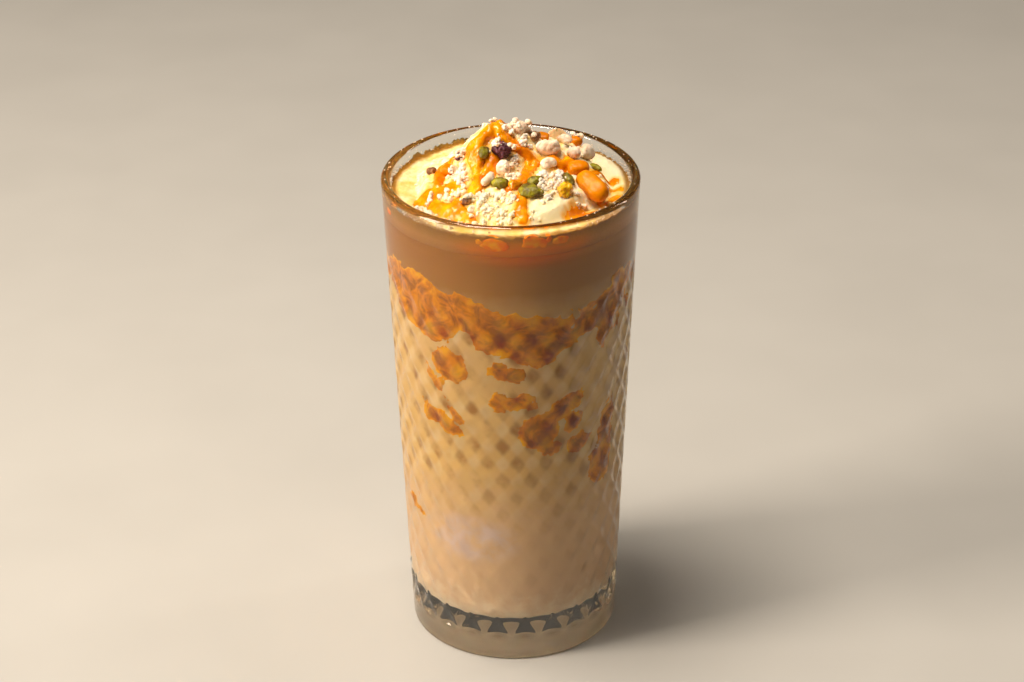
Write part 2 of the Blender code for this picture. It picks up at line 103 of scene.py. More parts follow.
def startMaterial(name, settings):
    # a material with these settings, its tree and shader, and the place in metres that patterns read
    material = bpy.data.materials.new(name)
    material.use_nodes = True
    tree = material.node_tree
    shader = tree.nodes["Principled BSDF"]
    for key, value in settings.items():
        shader.inputs[key].default_value = value
    place = tree.nodes.new("ShaderNodeTexCoord").outputs["Object"]
    return material, tree, shader, place


def finishMaterial(tree, shader, colour, height=None, depth=0.0):
    # colour, and relief that is depth deep where height goes from 0 to 1
    tree.links.new(liveOutput(colour), shader.inputs["Base Color"])
    if height:
        bump = addNode(tree, "ShaderNodeBump", {"Distance": depth, "Strength": 1.0}, {"Height": height})
        tree.links.new(liveOutput(bump), shader.inputs["Normal"])


def blotchesOf(sizeMm, detail, roughness=0.55):
    # settings of soft noise whose blotches are about sizeMm across
    return {"Scale": 1000 / sizeMm, "Detail": detail, "Roughness": roughness}


def heightRamp(tree, place, low, high, stops, drift=0.0):
    # colours by height between low and high in mm, its levels wandering by drift
    z = addNode(tree, "ShaderNodeSeparateXYZ", None, {"Vector": place}).outputs["Z"]
    blotches = addNode(tree, "ShaderNodeTexNoise", blotchesOf(4, 3), {"Vector": place})
    wander = addNode(tree, "ShaderNodeMath", {"operation": "MULTIPLY_ADD", 1: drift * mm, 2: -drift * mm / 2},
                     {0: blotches})
    level = addNode(tree, "ShaderNodeMath", {"operation": "ADD"}, {0: z, 1: wander})
    share = addNode(tree, "ShaderNodeMapRange", {1: low * mm, 2: high * mm}, {0: level})
    return addNode(tree, "ShaderNodeValToRGB", {"stops": stops}, {"Fac": share})


def nearPlace(tree, place, centre, sizes, most=1.0, inner=0.5):
    # up to most inside a soft ellipsoid, its centre and half sizes in mm
    middle = [value * mm for value in centre]
    reach = [value * mm for value in sizes]
    off = addNode(tree, "ShaderNodeVectorMath", {"operation": "SUBTRACT", 1: middle}, {0: place})
    share = addNode(tree, "ShaderNodeVectorMath", {"operation": "DIVIDE", 1: reach}, {0: off})
    far = addNode(tree, "ShaderNodeVectorMath", {"operation": "LENGTH"}, {0: share})
    return addNode(tree, "ShaderNodeMapRange",
                   {"interpolation_type": "SMOOTHSTEP", 1: 1.1, 2: inner, 4: most}, {0: far})


def mottled(name, look):
    # a material of one colour ramp over soft noise, with a paler place and fine relief where look has them
    material, tree, shader, place = startMaterial(name, look["shader"])
    blotches = addNode(tree, "ShaderNodeTexNoise", blotchesOf(*look["blotches"]), {"Vector": place})
    tint = addNode(tree, "ShaderNodeValToRGB", {"stops": look["stops"]}, {"Fac": blotches})
    if "paler" in look:
        *where, code = look["paler"]
        paler = nearPlace(tree, place, *where)
        tint = addNode(tree, "ShaderNodeMix", {"data_type": "RGBA", 7: toLinear(code)}, {0: paler, 6: tint})
    grain = None
    if "grain" in look:
        grain = addNode(tree, "ShaderNodeTexNoise", blotchesOf(*look["grain"]), {"Vector": place})
    finishMaterial(tree, shader, tint, grain, look.get("depth", 0.0) * mm)
    return material


def addValues(piece, name, values):
    # one number per point, which the material reads by its name
    store = piece.data.attributes.new(name, "FLOAT", "POINT")
    store.data.foreach_set("value", np.asarray(values, np.float32))


def addPiece(name, points, faces, material):
    mesh = bpy.data.meshes.new(name)
    mesh.from_pydata([tuple(p) for p in points], [], faces)
    mesh.materials.append(material)
    piece = bpy.data.objects.new(name, mesh)
    bpy.context.scene.collection.objects.link(piece)
    mesh.shade_smooth()
    return piece


def ringSkin(rings, tip=None, tail=None):
    # quads between closed rings of equal length, with a fan to a point at either end
    count = len(rings[0])
    points = [p for ring in rings for p in ring]
    faces = []
    for i in range(len(rings) - 1):
        for j in range(count):
            after = (j + 1) % count
            faces.append((i * count + j, i * count + after, (i + 1) * count + after, (i + 1) * count + j))
    if tip is not None:
        points.append(tip)
        faces += [((j + 1) % count, j, len(points) - 1) for j in range(count)]
    if tail is not None:
        points.append(tail)
        base = (len(rings) - 1) * count
        faces += [(base + j, base + (j + 1) % count, len(points) - 1) for j in range(count)]
    return points, faces


def faceOutwards(piece):
    # normals of a closed piece turned outwards
    bm = bmesh.new()
    bm.from_mesh(piece.data)
    bmesh.ops.recalc_face_normals(bm, faces=bm.faces)
    bm.to_mesh(piece.data)
    bm.free()


def lumps(points, sizeMm, shift=0.0, octaves=2):
    # smooth noise at places given in metres
    scale = 1000 / sizeMm
    offset = Vector((shift, shift * 0.37, -shift * 0.61))
    return np.array([noise.fractal(Vector(p) * scale + offset, 0.9, 2.0, octaves) for p in points])


def pillows(points, sizeMm, shift=0.0, octaves=1):
    # rounded lumps with creases between them
    return np.abs(lumps(points, sizeMm, shift, octaves)) * 2 - 0.45


def smoothStep(low, high, value):
    # soft step from 0 at low to 1 at high
    share = np.clip((value - low) / (high - low), 0, 1)
    return share * share * (3 - 2 * share)


def settle(piece, slotName, *nodes):
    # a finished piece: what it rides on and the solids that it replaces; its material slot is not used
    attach(piece, body)
    if nodes:
        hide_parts(*nodes)


# The glass: 150 mm tall, pressed, with 24 columns of hollow diamonds

glassShape = {
    "height": 150 * mm, "footRadius": 32 * mm, "rimRadius": 38 * mm, "rimWall": 2.8 * mm,
    "footCorner": 0.5 * mm, "recessRadius": 23 * mm, "recessDepth": 0.8 * mm,
    "floor": 12.8 * mm, "innerCorner": 5 * mm, "innerBase": 28.9 * mm,
    "diamonds": 24, "pitch": 12.1 * mm, "firstCrossing": 9 * mm, "turn": math.radians(-1.7),
    "cutDepth": 0.8 * mm, "cutFoot": 7.6 * mm, "footFade": 1.4 * mm, "cutTop": 129 * mm, "fadeRun": 9 * mm,
    "columns": 384, "rowsPerPitch": 16, "rowsBelow": 3, "footRings": (6.4 * mm, 5.2 * mm, 3 * mm),
}
intoWall = 0.15 * mm  # how far what fills the glass reaches into its wall, so that no air gap shows


def outerRadius(z):
    g = glassShape
    return g["footRadius"] + (g["rimRadius"] - g["footRadius"]) * z / g["height"]


def innerRadius(z):
    g = glassShape
    cornerTop = g["floor"] + g["innerCorner"]
    share = (z - cornerTop) / (g["height"] - cornerTop)
    return g["innerBase"] + (g["rimRadius"] - g["rimWall"] - g["innerBase"]) * share


def onWall(angle, radius, z):
    # angle from the front of the glass towards +X, in radians
    level = np.broadcast_to(z, np.shape(angle))
    return np.stack([radius * np.sin(angle), -radius * np.cos(angle), level], -1)


def cutDepth(angle, z):
    # hollow diamonds between two families of crossing ridges
    g = glassShape
    across = (angle - g["turn"]) * g["diamonds"] / math.tau
    up = (z - g["firstCrossing"]) / g["pitch"]
    hollow = np.abs(np.sin(math.pi * (across + up)) * np.sin(math.pi * (across - up)))
    fade = smoothStep(g["cutTop"], g["cutTop"] - g["fadeRun"], z)
    fade = fade * smoothStep(g["cutFoot"], g["cutFoot"] + g["footFade"], z)
    return g["cutDepth"] * fade * hollow


def arc(centreR, centreZ, radius, start, stop, steps):
    # points of a round stretch in a profile, its angles in degrees
    angles = np.radians(np.linspace(start, stop, steps + 1))
    return [(centreR + radius * math.cos(a), centreZ + radius * math.sin(a)) for a in angles]


def makeGlass(material):
    g = glassShape
    angles = np.linspace(0, math.tau, g["columns"], endpoint=False) + g["turn"]
    half = g["rimWall"] / 2
    cornerR = g["innerBase"] - g["innerCorner"]
    cornerZ = g["floor"] + g["innerCorner"]
    inside = [(cornerR * share, g["floor"]) for share in (0.3, 0.65)]
    inside += arc(cornerR, cornerZ, g["innerCorner"], -90, 0, 7)
    inside += [(innerRadius(z), z) for z in np.linspace(cornerZ, g["height"] - half, 12)[1:-1]]
    rim = arc(g["rimRadius"] - half, g["height"] - half, half, 180, 0, 12)
    plain = [(outerRadius(z), z) for z in np.linspace(g["height"] - half, g["cutTop"], 6)[1:]]
    step = g["pitch"] / g["rowsPerPitch"]
    rows = int((g["cutTop"] - g["cutFoot"]) / step)
    cuts = g["firstCrossing"] + step * (np.arange(rows)[::-1] - g["rowsBelow"])
    rings = [onWall(angles, np.full(len(angles), r), z) for r, z in inside + rim + plain]
    rings += [onWall(angles, outerRadius(z) - cutDepth(angles, z), z) for z in cuts]
    foot = [(outerRadius(z), z) for z in g["footRings"]]
    foot += arc(g["footRadius"] - g["footCorner"], g["footCorner"], g["footCorner"], 0, -90, 6)
    foot += [(g["recessRadius"] + g["recessDepth"], 0), (g["recessRadius"], g["recessDepth"])]
    foot += [(g["recessRadius"] * 0.5, g["recessDepth"])]
    rings += [onWall(angles, np.full(len(angles), r), z) for r, z in foot]
    points, faces = ringSkin(rings, (0, 0, g["floor"]), (0, 0, g["recessDepth"]))
    piece = addPiece("pressedGlass", points, faces, material)
    faceOutwards(piece)
    return piece


# Soda-lime glass, pressed in a mould: clear with a trace of yellow-green, very smooth, slightly wavy
glassMaterial, tree, shader, place = startMaterial("sodaLimeGlassPressed", {
    "Base Color": toLinear("FAFAF7"), "Roughness": 0.015, "IOR": 1.5, "Transmission Weight": 1.0,
    "Specular IOR Level": 0.27,
})
waviness = addNode(tree, "ShaderNodeTexNoise", blotchesOf(7, 1), {"Vector": place})
bump = addNode(tree, "ShaderNodeBump", {"Distance": 0.03 * mm, "Strength": 1.0}, {"Height": waviness})
tree.links.new(liveOutput(bump), shader.inputs["Normal"])  # mould waviness, gives lively reflections
glass = makeGlass(glassMaterial)
settle(glass, "clear_glass", "glass")
print("glass built:", len(glass.data.polygons), "faces")


# What the cuts do to the light behind them, painted on what stands at the wall

cutShadow = {
    # where the dark spots lie against the ridges, how far they wander as a phase, how soft they meet
    "turn": math.radians(3.8), "rise": 0.7 * mm, "drift": 1.4, "softness": 1.1,
    "driftSize": 6, "patchSize": 9,
    # strength by share of the glass's height, and what the patches leave of it
    "byHeight": [(0.06, "000000"), (0.12, "585858"), (0.3, "686868"), (0.46, "E8E8E8"), (0.76, "FFFFFF"),
                 (0.815, "000000")],
    "byPatch": [(0.36, "5C5C5C"), (0.6, "FFFFFF")],
}


def cutShade(tree, place):
    # dark diamonds, bright ones between them, and slanted streaks
    g = glassShape
    c = cutShadow
    perPitch = math.tau / g["pitch"]
    turnShift = -(g["turn"] + c["turn"]) * g["diamonds"] - c["drift"] / 2
    riseShift = -(g["firstCrossing"] + c["rise"]) * perPitch
    parts = addNode(tree, "ShaderNodeSeparateXYZ", None, {"Vector": place})
    front = addNode(tree, "ShaderNodeMath", {"operation": "MULTIPLY", 1: -1.0}, {0: parts.outputs["Y"]})
    angle = addNode(tree, "ShaderNodeMath", {"operation": "ARCTAN2"}, {0: parts.outputs["X"], 1: front})
    turns = addNode(tree, "ShaderNodeMath", {"operation": "MULTIPLY_ADD", 1: g["diamonds"], 2: turnShift},
                    {0: angle})
    rises = addNode(tree, "ShaderNodeMath", {"operation": "MULTIPLY_ADD", 1: perPitch, 2: riseShift},
                    {0: parts.outputs["Z"]})
    drift = addNode(tree, "ShaderNodeTexNoise", blotchesOf(c["driftSize"], 2), {"Vector": place})
    waves = []
    for operation in ("ADD", "SUBTRACT"):
        slant = addNode(tree, "ShaderNodeMath", {"operation": operation}, {0: turns, 1: rises})
        moved = addNode(tree, "ShaderNodeMath", {"operation": "MULTIPLY_ADD", 1: c["drift"]},
                        {0: drift, 2: slant})
        waves.append(addNode(tree, "ShaderNodeMath", {"operation": "COSINE"}, {0: moved}))
    level = addNode(tree, "ShaderNodeMath", {"operation": "DIVIDE", 1: g["height"]}, {0: parts.outputs["Z"]})
    height = addNode(tree, "ShaderNodeValToRGB", {"stops": c["byHeight"]}, {"Fac": level})
    blotches = addNode(tree, "ShaderNodeTexNoise", blotchesOf(c["patchSize"], 3), {"Vector": place})
    uneven = addNode(tree, "ShaderNodeValToRGB", {"stops": c["byPatch"]}, {"Fac": blotches})
    mask = addNode(tree, "ShaderNodeMath", {"operation": "MULTIPLY"}, {0: height, 1: uneven})
    both, neither = (addNode(tree, "ShaderNodeMath", {"operation": operation, 2: c["softness"]},
                             {0: waves[0], 1: waves[1]}) for operation in ("SMOOTH_MIN", "SMOOTH_MAX"))
    found = []
    for wave, low, high in ((both, -0.9, 0.75), (neither, 0.8, -0.8), (waves[1], 0.0, 0.95)):
        share = addNode(tree, "ShaderNodeMapRange", {"interpolation_type": "SMOOTHSTEP", 1: low, 2: high},
                        {0: wave})
        found.append(addNode(tree, "ShaderNodeMath", {"operation": "MULTIPLY"}, {0: share, 1: mask}))
    return found


# The milk up to 140 mm

milkTop = 140.0 * mm


def makeMilk(material):
    g = glassShape
    angles = np.linspace(0, math.tau, g["columns"] // 2, endpoint=False)
    cornerR = g["innerBase"] - g["innerCorner"]
    cornerZ = g["floor"] + g["innerCorner"]
    profile = [(innerRadius(milkTop) * 0.5, milkTop), (innerRadius(milkTop) + intoWall, milkTop)]
    profile += [(innerRadius(z) + intoWall, z) for z in np.linspace(milkTop, cornerZ, 40)[1:]]
    profile += arc(cornerR, cornerZ, g["innerCorner"] + intoWall, 0, -90, 8)[1:]
    profile += [(cornerR * 0.5, g["floor"] - intoWall)]
    rings = [onWall(angles, np.full(len(angles), r), z) for r, z in profile]
    points, faces = ringSkin(rings, (0, 0, milkTop), (0, 0, g["floor"] - intoWall))
    piece = addPiece("sweetMilk", points, faces, material)
    faceOutwards(piece)
    return piece


milkFlecks = [
    # nut skin and mango that float at the wall: centre and half sizes in mm, colour
    ((4.8, -32.6, 64.3), (1.4, 1.6, 0.8), "7A4A18"), ((13.4, -29.8, 59.1), (1.1, 1.6, 0.9), "8A5A20"),
    ((16.2, -28.4, 59.6), (0.9, 1.6, 0.7), "7A4A18"), ((-5.5, -33.1, 80.5), (1.7, 1.6, 1.1), "F0A400"),
    ((-25.5, -20.8, 67.0), (1.5, 1.8, 1.1), "F4AC04"),
]

# Sweetened milk, boiled down and poured: smooth, warm beige, a little light goes into it
milkMaterial, tree, shader, place = startMaterial("reducedMilkPoured", {
    "Roughness": 0.45, "IOR": 1.35, "Specular IOR Level": 0.0, "Subsurface Weight": 0.15,
    "Subsurface Scale": 1.2 * mm, "Subsurface Radius": (1.0, 0.8, 0.55),
})
# painted light: the milk is paler at the bottom, where light comes in through the foot, and warm beige higher
# up
tint = heightRamp(tree, place, 12, 112, [
    (0.0, "FFE8C8"), (0.1, "F0CCA2"), (0.36, "EEC896"), (0.56, "EEC67C"), (1.0, "EEC884"),
], 22)
# painted shade and light from the cuts: the milk is darkened in diamonds, and lightened in bright diamonds
# between them and in slanted streaks
cutShadeSpots, cutLightGlow, cutLightStreaks = cutShade(tree, place)
tint = addNode(tree, "ShaderNodeMix", {"data_type": "RGBA", "blend_type": "MULTIPLY", 7: toLinear("B89868")},
               {0: cutShadeSpots, 6: tint})
cutLightGlow = addNode(tree, "ShaderNodeMath", {"operation": "MULTIPLY", 1: 0.75}, {0: cutLightGlow})
# at the right the cuts catch light in slanted lines
right = nearPlace(tree, place, (27, -22, 98), (16, 15, 42), 0.92)
right = addNode(tree, "ShaderNodeMath", {"operation": "MULTIPLY"}, {0: right, 1: cutLightStreaks})
# painted reflection: a pale pinkish patch low at the front left, where a soft lamp mirrors in the wall,
# broken into clouds
blotches = addNode(tree, "ShaderNodeTexNoise", blotchesOf(7, 3), {"Vector": place})
cloud = addNode(tree, "ShaderNodeValToRGB", {"stops": [(0.38, "404040"), (0.6, "FFFFFF")]}, {"Fac": blotches})
pale = nearPlace(tree, place, (-13, -28, 42), (17, 17, 9), 0.88)
pale = addNode(tree, "ShaderNodeMath", {"operation": "MULTIPLY"}, {0: pale, 1: cloud})
flecks = [(nearPlace(tree, place, centre, sizes, 0.8), code) for centre, sizes, code in milkFlecks]
for share, code in [(cutLightGlow, "FFE6B0"), (right, "FFE8C4"), (pale, "EAD2C8"), *flecks]:
    tint = addNode(tree, "ShaderNodeMix", {"data_type": "RGBA", 7: toLinear(code)}, {0: share, 6: tint})
# painted shade: the milk darkens towards the top, where the smooth wall above the cuts gathers less light,
# and mango juice sinks in below the cream
stain = heightRamp(tree, place, 112, 141, [(0.15, "FFFFFF"), (0.55, "C4A676"), (1.0, "B89058")], 3.0)
juice = nearPlace(tree, place, (6, -34, 141.5), (23, 12, 6.5), 0.85, 0.1)
stain = addNode(tree, "ShaderNodeMix", {"data_type": "RGBA", 7: toLinear("E07C08")}, {0: juice, 6: stain})
tint = addNode(tree, "ShaderNodeMix", {"data_type": "RGBA", "blend_type": "MULTIPLY", 0: 1.0},
               {6: tint, 7: stain})
finishMaterial(tree, shader, tint)
milk = makeMilk(milkMaterial)
settle(milk, "milk", "milk")
print("milk built")


# Mango puree on the wall: a ragged band and loose smears, just proud of the milk

pureeBand = {
    # angle from the front in degrees, then the lower and upper edge in mm
    "edges": [(-180, 108, 123), (-150, 112, 126), (-120, 109, 124), (-95, 116, 127), (-78, 120, 128),
              (-64, 113, 129), (-50, 110, 129), (-34, 110, 127), (-25, 114, 127), (-18, 109, 126),
              (-4, 108, 122), (12, 104, 120), (24, 106, 119), (38, 110, 120), (50, 104, 124),
              (60, 108, 127), (78, 117, 127), (100, 112, 125), (128, 107, 121), (155, 111, 125)],
    "proud": 0.16 * mm, "sunk": 0.7 * mm, "depth": 1.6 * mm, "margin": 3.5 * mm,
    # raggedness in mm: coarse, fine, and holes where milk breaks through at the right
    "ragged": 2.2, "frayed": 1.3, "holes": 9, "columns": 560, "rows": 72,
}
noiseRadius = 35 * mm  # noise on the wall is read at this radius, whatever the wall's slant
smears = {
    # blobs of each smear: angle in degrees, height, width, tallness in mm, slant in degrees
    1: [(-33, 102, 8.5, 8, -10), (-40.8, 95.5, 8, 2.2, -55), (-29, 99.6, 4.5, 4, 0)],
    2: [(-46.4, 83.2, 4.5, 4.2, 0), (-37.8, 81.9, 12.8, 3.4, -28), (-30.5, 85.4, 6.5, 1.9, -55)],
    3: [(-2.5, 101.4, 9.5, 3, -8), (-6.3, 103.3, 3.6, 2.8, 0)],
    4: [(-0.7, 91.5, 10.5, 3, -6), (-6.6, 91.8, 4, 4.8, 0), (6.3, 92.7, 4.5, 2.6, 0)],
    5: [(13.5, 81.3, 10.5, 8.5, 35), (25.1, 87.5, 13.5, 4.2, 30), (18.4, 75, 6, 3, -10),
        (32.3, 82.6, 4.5, 4.4, 0)],
    6: [(35.2, 74.6, 8, 3.6, 14), (39, 76, 3, 2.4, 0)],
    7: [(53.6, 63.6, 8.5, 10.5, 0), (56.6, 73.8, 5.5, 14, -5), (59.5, 79.3, 3, 6, 0)],
    8: [(-70, 46.4, 8, 1.7, -10), (-62, 44.6, 4.5, 1.6, -30)],
    9: [(128, 90, 11, 5.5, 18), (135, 93, 6, 4, 30)],
    10: [(-145, 84, 12, 4.6, -14), (-138, 81, 6, 4, -30)],
}
smearShape = {
    # sizes in mm: how much larger the ragged blobs are drawn, the wall's radius, and the sheet's depth
    "grow": 1.3, "wider": 0.8, "taller": 1.2, "wall": 33, "depth": 0.9 * mm,
    # room round the blobs and the steps of the grid, in degrees and in mm
    "asideRoom": 4, "aboveRoom": 1.5, "asideStep": 0.6, "aboveStep": 0.36,
}


def bandEdges(degrees):
    # lower and upper edge of the band in metres
    points = pureeBand["edges"] + [(180, *pureeBand["edges"][0][1:])]
    at = (np.asarray(degrees) + 180) % 360 - 180
    angles = [p[0] for p in points]
    low, high = (np.interp(at, angles, [p[i] for p in points]) * mm for i in (1, 2))
    return low, high


def pureeSkin(level):
    # how far the surface stands from the wall: proud of the milk where level is above 0, else sunk in it
    b = pureeBand
    rise = smoothStep(-0.35, 0.35, level)
    return intoWall - b["sunk"] + (b["sunk"] + b["proud"]) * rise


def makeBand(material):
    b = pureeBand
    columns = b["columns"]
    angles = np.linspace(0, math.tau, columns, endpoint=False)
    low, high = bandEdges(np.degrees(angles))
    broken = smoothStep(18, 40, np.degrees(np.minimum(angles, math.tau - angles))) * (angles < math.pi)
    rings = []
    thick = []
    for i in range(b["rows"] + 1):
        z = low - b["margin"] + (high - low + 2 * b["margin"]) * i / b["rows"]
        flat = onWall(angles, noiseRadius, z)
        rag = lumps(flat, 7.5, 3.0, 3) * b["ragged"] + lumps(flat, 2.4, 8.0, 3) * b["frayed"]
        holes = np.clip(lumps(flat, 5.0, 21.0, 2), 0, None) * b["holes"] * broken
        level = np.minimum(z - low, high - z) / mm + rag - holes
        rings.append(onWall(angles, innerRadius(z) + pureeSkin(level), z))
        thick.append(np.clip(level / 3, 0, 1))
    # the back of the band, inside the milk
    for ring in (rings[-1], rings[0]):
        shrink = 1 - b["depth"] / np.hypot(ring[:, 0], ring[:, 1])
        rings.append(np.stack([ring[:, 0] * shrink, ring[:, 1] * shrink, ring[:, 2]], -1))
    points, faces = ringSkin(rings)
    last = (len(rings) - 1) * columns
    faces += [(last + j, last + (j + 1) % columns, (j + 1) % columns, j) for j in range(columns)]
    piece = addPiece("mangoPureeBand", points, faces, material)
    faceOutwards(piece)
    addValues(piece, "thick", np.concatenate(thick + [np.zeros(2 * columns)]))
    return piece


def blobLevel(degrees, z, blobs):
    # how far inside the nearest blob a place on the wall is, in mm
    level = np.full(np.shape(z), -9.0)
    for middle, height, width, tall, slant in blobs:
        aside = np.radians(degrees - middle) * smearShape["wall"]
        above = z / mm - height
        turn = math.radians(slant)
        along = aside * math.cos(turn) + above * math.sin(turn)
        cross = above * math.cos(turn) - aside * math.sin(turn)
        level = np.maximum(level, (1 - np.hypot(along / width * 2, cross / tall * 2)) * min(width, tall) / 2)
    return level


def makeSmear(number, blobs, material):
    m = smearShape
    blobs = [(b[0], b[1], b[2] * m["grow"] + m["wider"], b[3] * m["grow"] + m["taller"], b[4]) for b in blobs]
    wide = [math.degrees((b[2] + b[3]) * 0.5 / m["wall"]) for b in blobs]
    left = min(b[0] - w for b, w in zip(blobs, wide)) - m["asideRoom"]
    right = max(b[0] + w for b, w in zip(blobs, wide)) + m["asideRoom"]
    low = min(b[1] - (b[2] + b[3]) * 0.45 for b in blobs) - m["aboveRoom"]
    high = max(b[1] + (b[2] + b[3]) * 0.45 for b in blobs) + m["aboveRoom"]
    columns = int((right - left) / m["asideStep"]) + 1
    rows = int((high - low) / m["aboveStep"]) + 1
    degrees, z = np.meshgrid(np.linspace(left, right, columns), np.linspace(low, high, rows) * mm)
    angle = np.radians(degrees)
    flat = onWall(angle, noiseRadius, z).reshape(-1, 3)
    rag = lumps(flat, 3.4, number * 5.3, 2) * 1.2 + lumps(flat, 1.3, number * 2.1, 3) * 0.8
    level = blobLevel(degrees, z, blobs) + rag.reshape(z.shape) * 0.8
    level[0] = level[-1] = -2
    level[:, 0] = level[:, -1] = -2
    radius = innerRadius(z) + pureeSkin(level)
    front, back = (onWall(angle, at, z).reshape(-1, 3) for at in (radius, radius - m["depth"]))
    piece = shellOf(f"mangoPureeSmear{number}", front, back, rows, columns, material)
    addValues(piece, "thick", np.tile(np.clip(level.ravel() / 2.2, 0, 1), 2))
    return piece


def shellOf(name, front, back, rows, columns, material):
    # a closed sheet from two grids of points of one size
    faces = []
    total = rows * columns
    for i in range(rows - 1):
        for j in range(columns - 1):
            a = i * columns + j
            faces.append((a, a + 1, a + columns + 1, a + columns))
            faces.append((total + a, total + a + columns, total + a + columns + 1, total + a + 1))
    loop = list(range(columns)) + [i * columns + columns - 1 for i in range(1, rows)]
    loop += [(rows - 1) * columns + j for j in range(columns - 2, -1, -1)]
    loop += [i * columns for i in range(rows - 2, 0, -1)]
    for a, b in zip(loop, loop[1:] + loop[:1]):
        faces.append((b, a, total + a, total + b))
    piece = addPiece(name, list(front) + list(back), faces, material)
    faceOutwards(piece)
    return piece


# Mango pulp, sieved and smeared by the pour: wet, orange where thick, yellow where it thins out
pureeMaterial, tree, shader, place = startMaterial("sievedMangoPulp", {
    "Roughness": 0.4, "IOR": 1.37, "Specular IOR Level": 0.0, "Subsurface Weight": 0.12,
    "Subsurface Scale": 0.8 * mm, "Subsurface Radius": (1.0, 0.75, 0.1),
})
clots = addNode(tree, "ShaderNodeTexNoise", {**blotchesOf(6.5, 4, 0.62), "Distortion": 1.4},
                {"Vector": place})
thick = addNode(tree, "ShaderNodeAttribute", {"attribute_name": "thick"}).outputs["Fac"]
depth = addNode(tree, "ShaderNodeMath", {"operation": "MULTIPLY_ADD", 1: 0.2}, {0: thick, 2: clots})
tint = addNode(tree, "ShaderNodeValToRGB", {"stops": [
    (0.36, "FFC400"), (0.5, "F8AA00"), (0.62, "E69000"), (0.78, "B06A00"),
]}, {"Fac": depth})
# painted shade and light from the cuts: the puree is darkened in diamonds and lightened in bright diamonds
# between them
cutShadeSpots, cutLightGlow, cutLightStreaks = cutShade(tree, place)
tint = addNode(tree, "ShaderNodeMix", {"data_type": "RGBA", "blend_type": "MULTIPLY", 7: toLinear("B07410")},
               {0: cutShadeSpots, 6: tint})
cutLightGlow = addNode(tree, "ShaderNodeMath", {"operation": "MULTIPLY", 1: 0.6}, {0: cutLightGlow})
tint = addNode(tree, "ShaderNodeMix", {"data_type": "RGBA", 7: toLinear("FFC400")}, {0: cutLightGlow, 6: tint})
finishMaterial(tree, shader, tint)
band = makeBand(pureeMaterial)
settle(band, "mango_puree", "puree_band")
for number, blobs in smears.items():
    settle(makeSmear(number, blobs, pureeMaterial), "mango_puree", f"puree_smear_{number}")
print("puree built")


# The cream layer and the heap share one ground: the heap's own height and the cream round it

heap = {
    # rounded lobes: x, y, radius, height in mm, sharpness
    "lobes": [(2, 0, 31, 7.4, 1.0), (-4.5, 5, 13.5, 10.0, 1.25), (12.5, 7.5, 13, 4.8, 1.2),
              (-2, -3.5, 6.5, -2.5, 1.0)],
    "base": 145.5 * mm, "lip": 0.8 * mm, "radius": 28.5 * mm,
    "waves": ((3, 0.8, 1.1 * mm), (5, 2.1, 0.8 * mm)),
    # bare cream at the front right: x, y and spread in mm
    "smoothPlace": (11, -23), "smoothSpread": 6.3,
    # bank of cream at the rear right, which dents the heap's edge
    "puffAngle": math.radians(26), "puffSpread": math.radians(24),
    "puffHeight": 2.2 * mm, "puffDent": 3.4 * mm,
}
creamShape = {"seat": 145.2 * mm, "edge": 0.7 * mm, "billow": 0.35 * mm}


def nearPuff(angle):
    # 1 at the bank's middle, fading to its sides
    off = (angle - heap["puffAngle"] + math.pi) % math.tau - math.pi
    return np.exp(-(off / heap["puffSpread"]) ** 2)


def heapEdge(angle):
    wave = sum(height * np.sin(times * angle + shift) for times, shift, height in heap["waves"])
    return heap["radius"] + wave - heap["puffDent"] * nearPuff(angle)


def heapHeight(x, y):
    total = np.zeros(np.shape(x))
    for cx, cy, radius, height, sharp in heap["lobes"]:
        away = ((x / mm - cx) ** 2 + (y / mm - cy) ** 2) / radius ** 2
        total = total + height * np.clip(1 - away, 0, None) ** sharp
    return heap["base"] + heap["lip"] + total * mm


def creamHeight(x, y):
    # flat under the heap, billowing from its edge to the wall
    radius = np.hypot(x, y)
    angle = np.arctan2(y, x)
    edge = heapEdge(angle) + 0.9 * mm
    wall = innerRadius(creamShape["seat"])
    out = np.clip((radius - edge) / (wall - edge), 0, 1)
    swell = heap["puffHeight"] * nearPuff(angle) + creamShape["billow"] * (1 + np.sin(4 * angle + 1))
    return creamShape["seat"] + creamShape["edge"] * out ** 2 + swell * np.sin(math.pi * out)


def groundHeight(x, y):
    # top of heap or cream, whichever is higher, with the heap's edge run out softly
    radius = np.hypot(x, y)
    edge = heapEdge(np.arctan2(y, x))
    inside = smoothStep(edge + 1.2 * mm, edge - 2.5 * mm, radius)
    cream = creamHeight(x, y)
    return cream + np.clip(heapHeight(x, y) - cream, 0, None) * inside


def polarRings(radii, columns, heightOf):
    # rings of places on a surface, from the middle out
    angles = np.linspace(0, math.tau, columns, endpoint=False)
    rings = []
    for radius in radii:
        x = radius * np.cos(angles)
        y = radius * np.sin(angles)
        rings.append(np.stack([x, y, heightOf(x, y)], -1))
    return rings


# Mango sauce poured over the heap, rounded strands and puddles

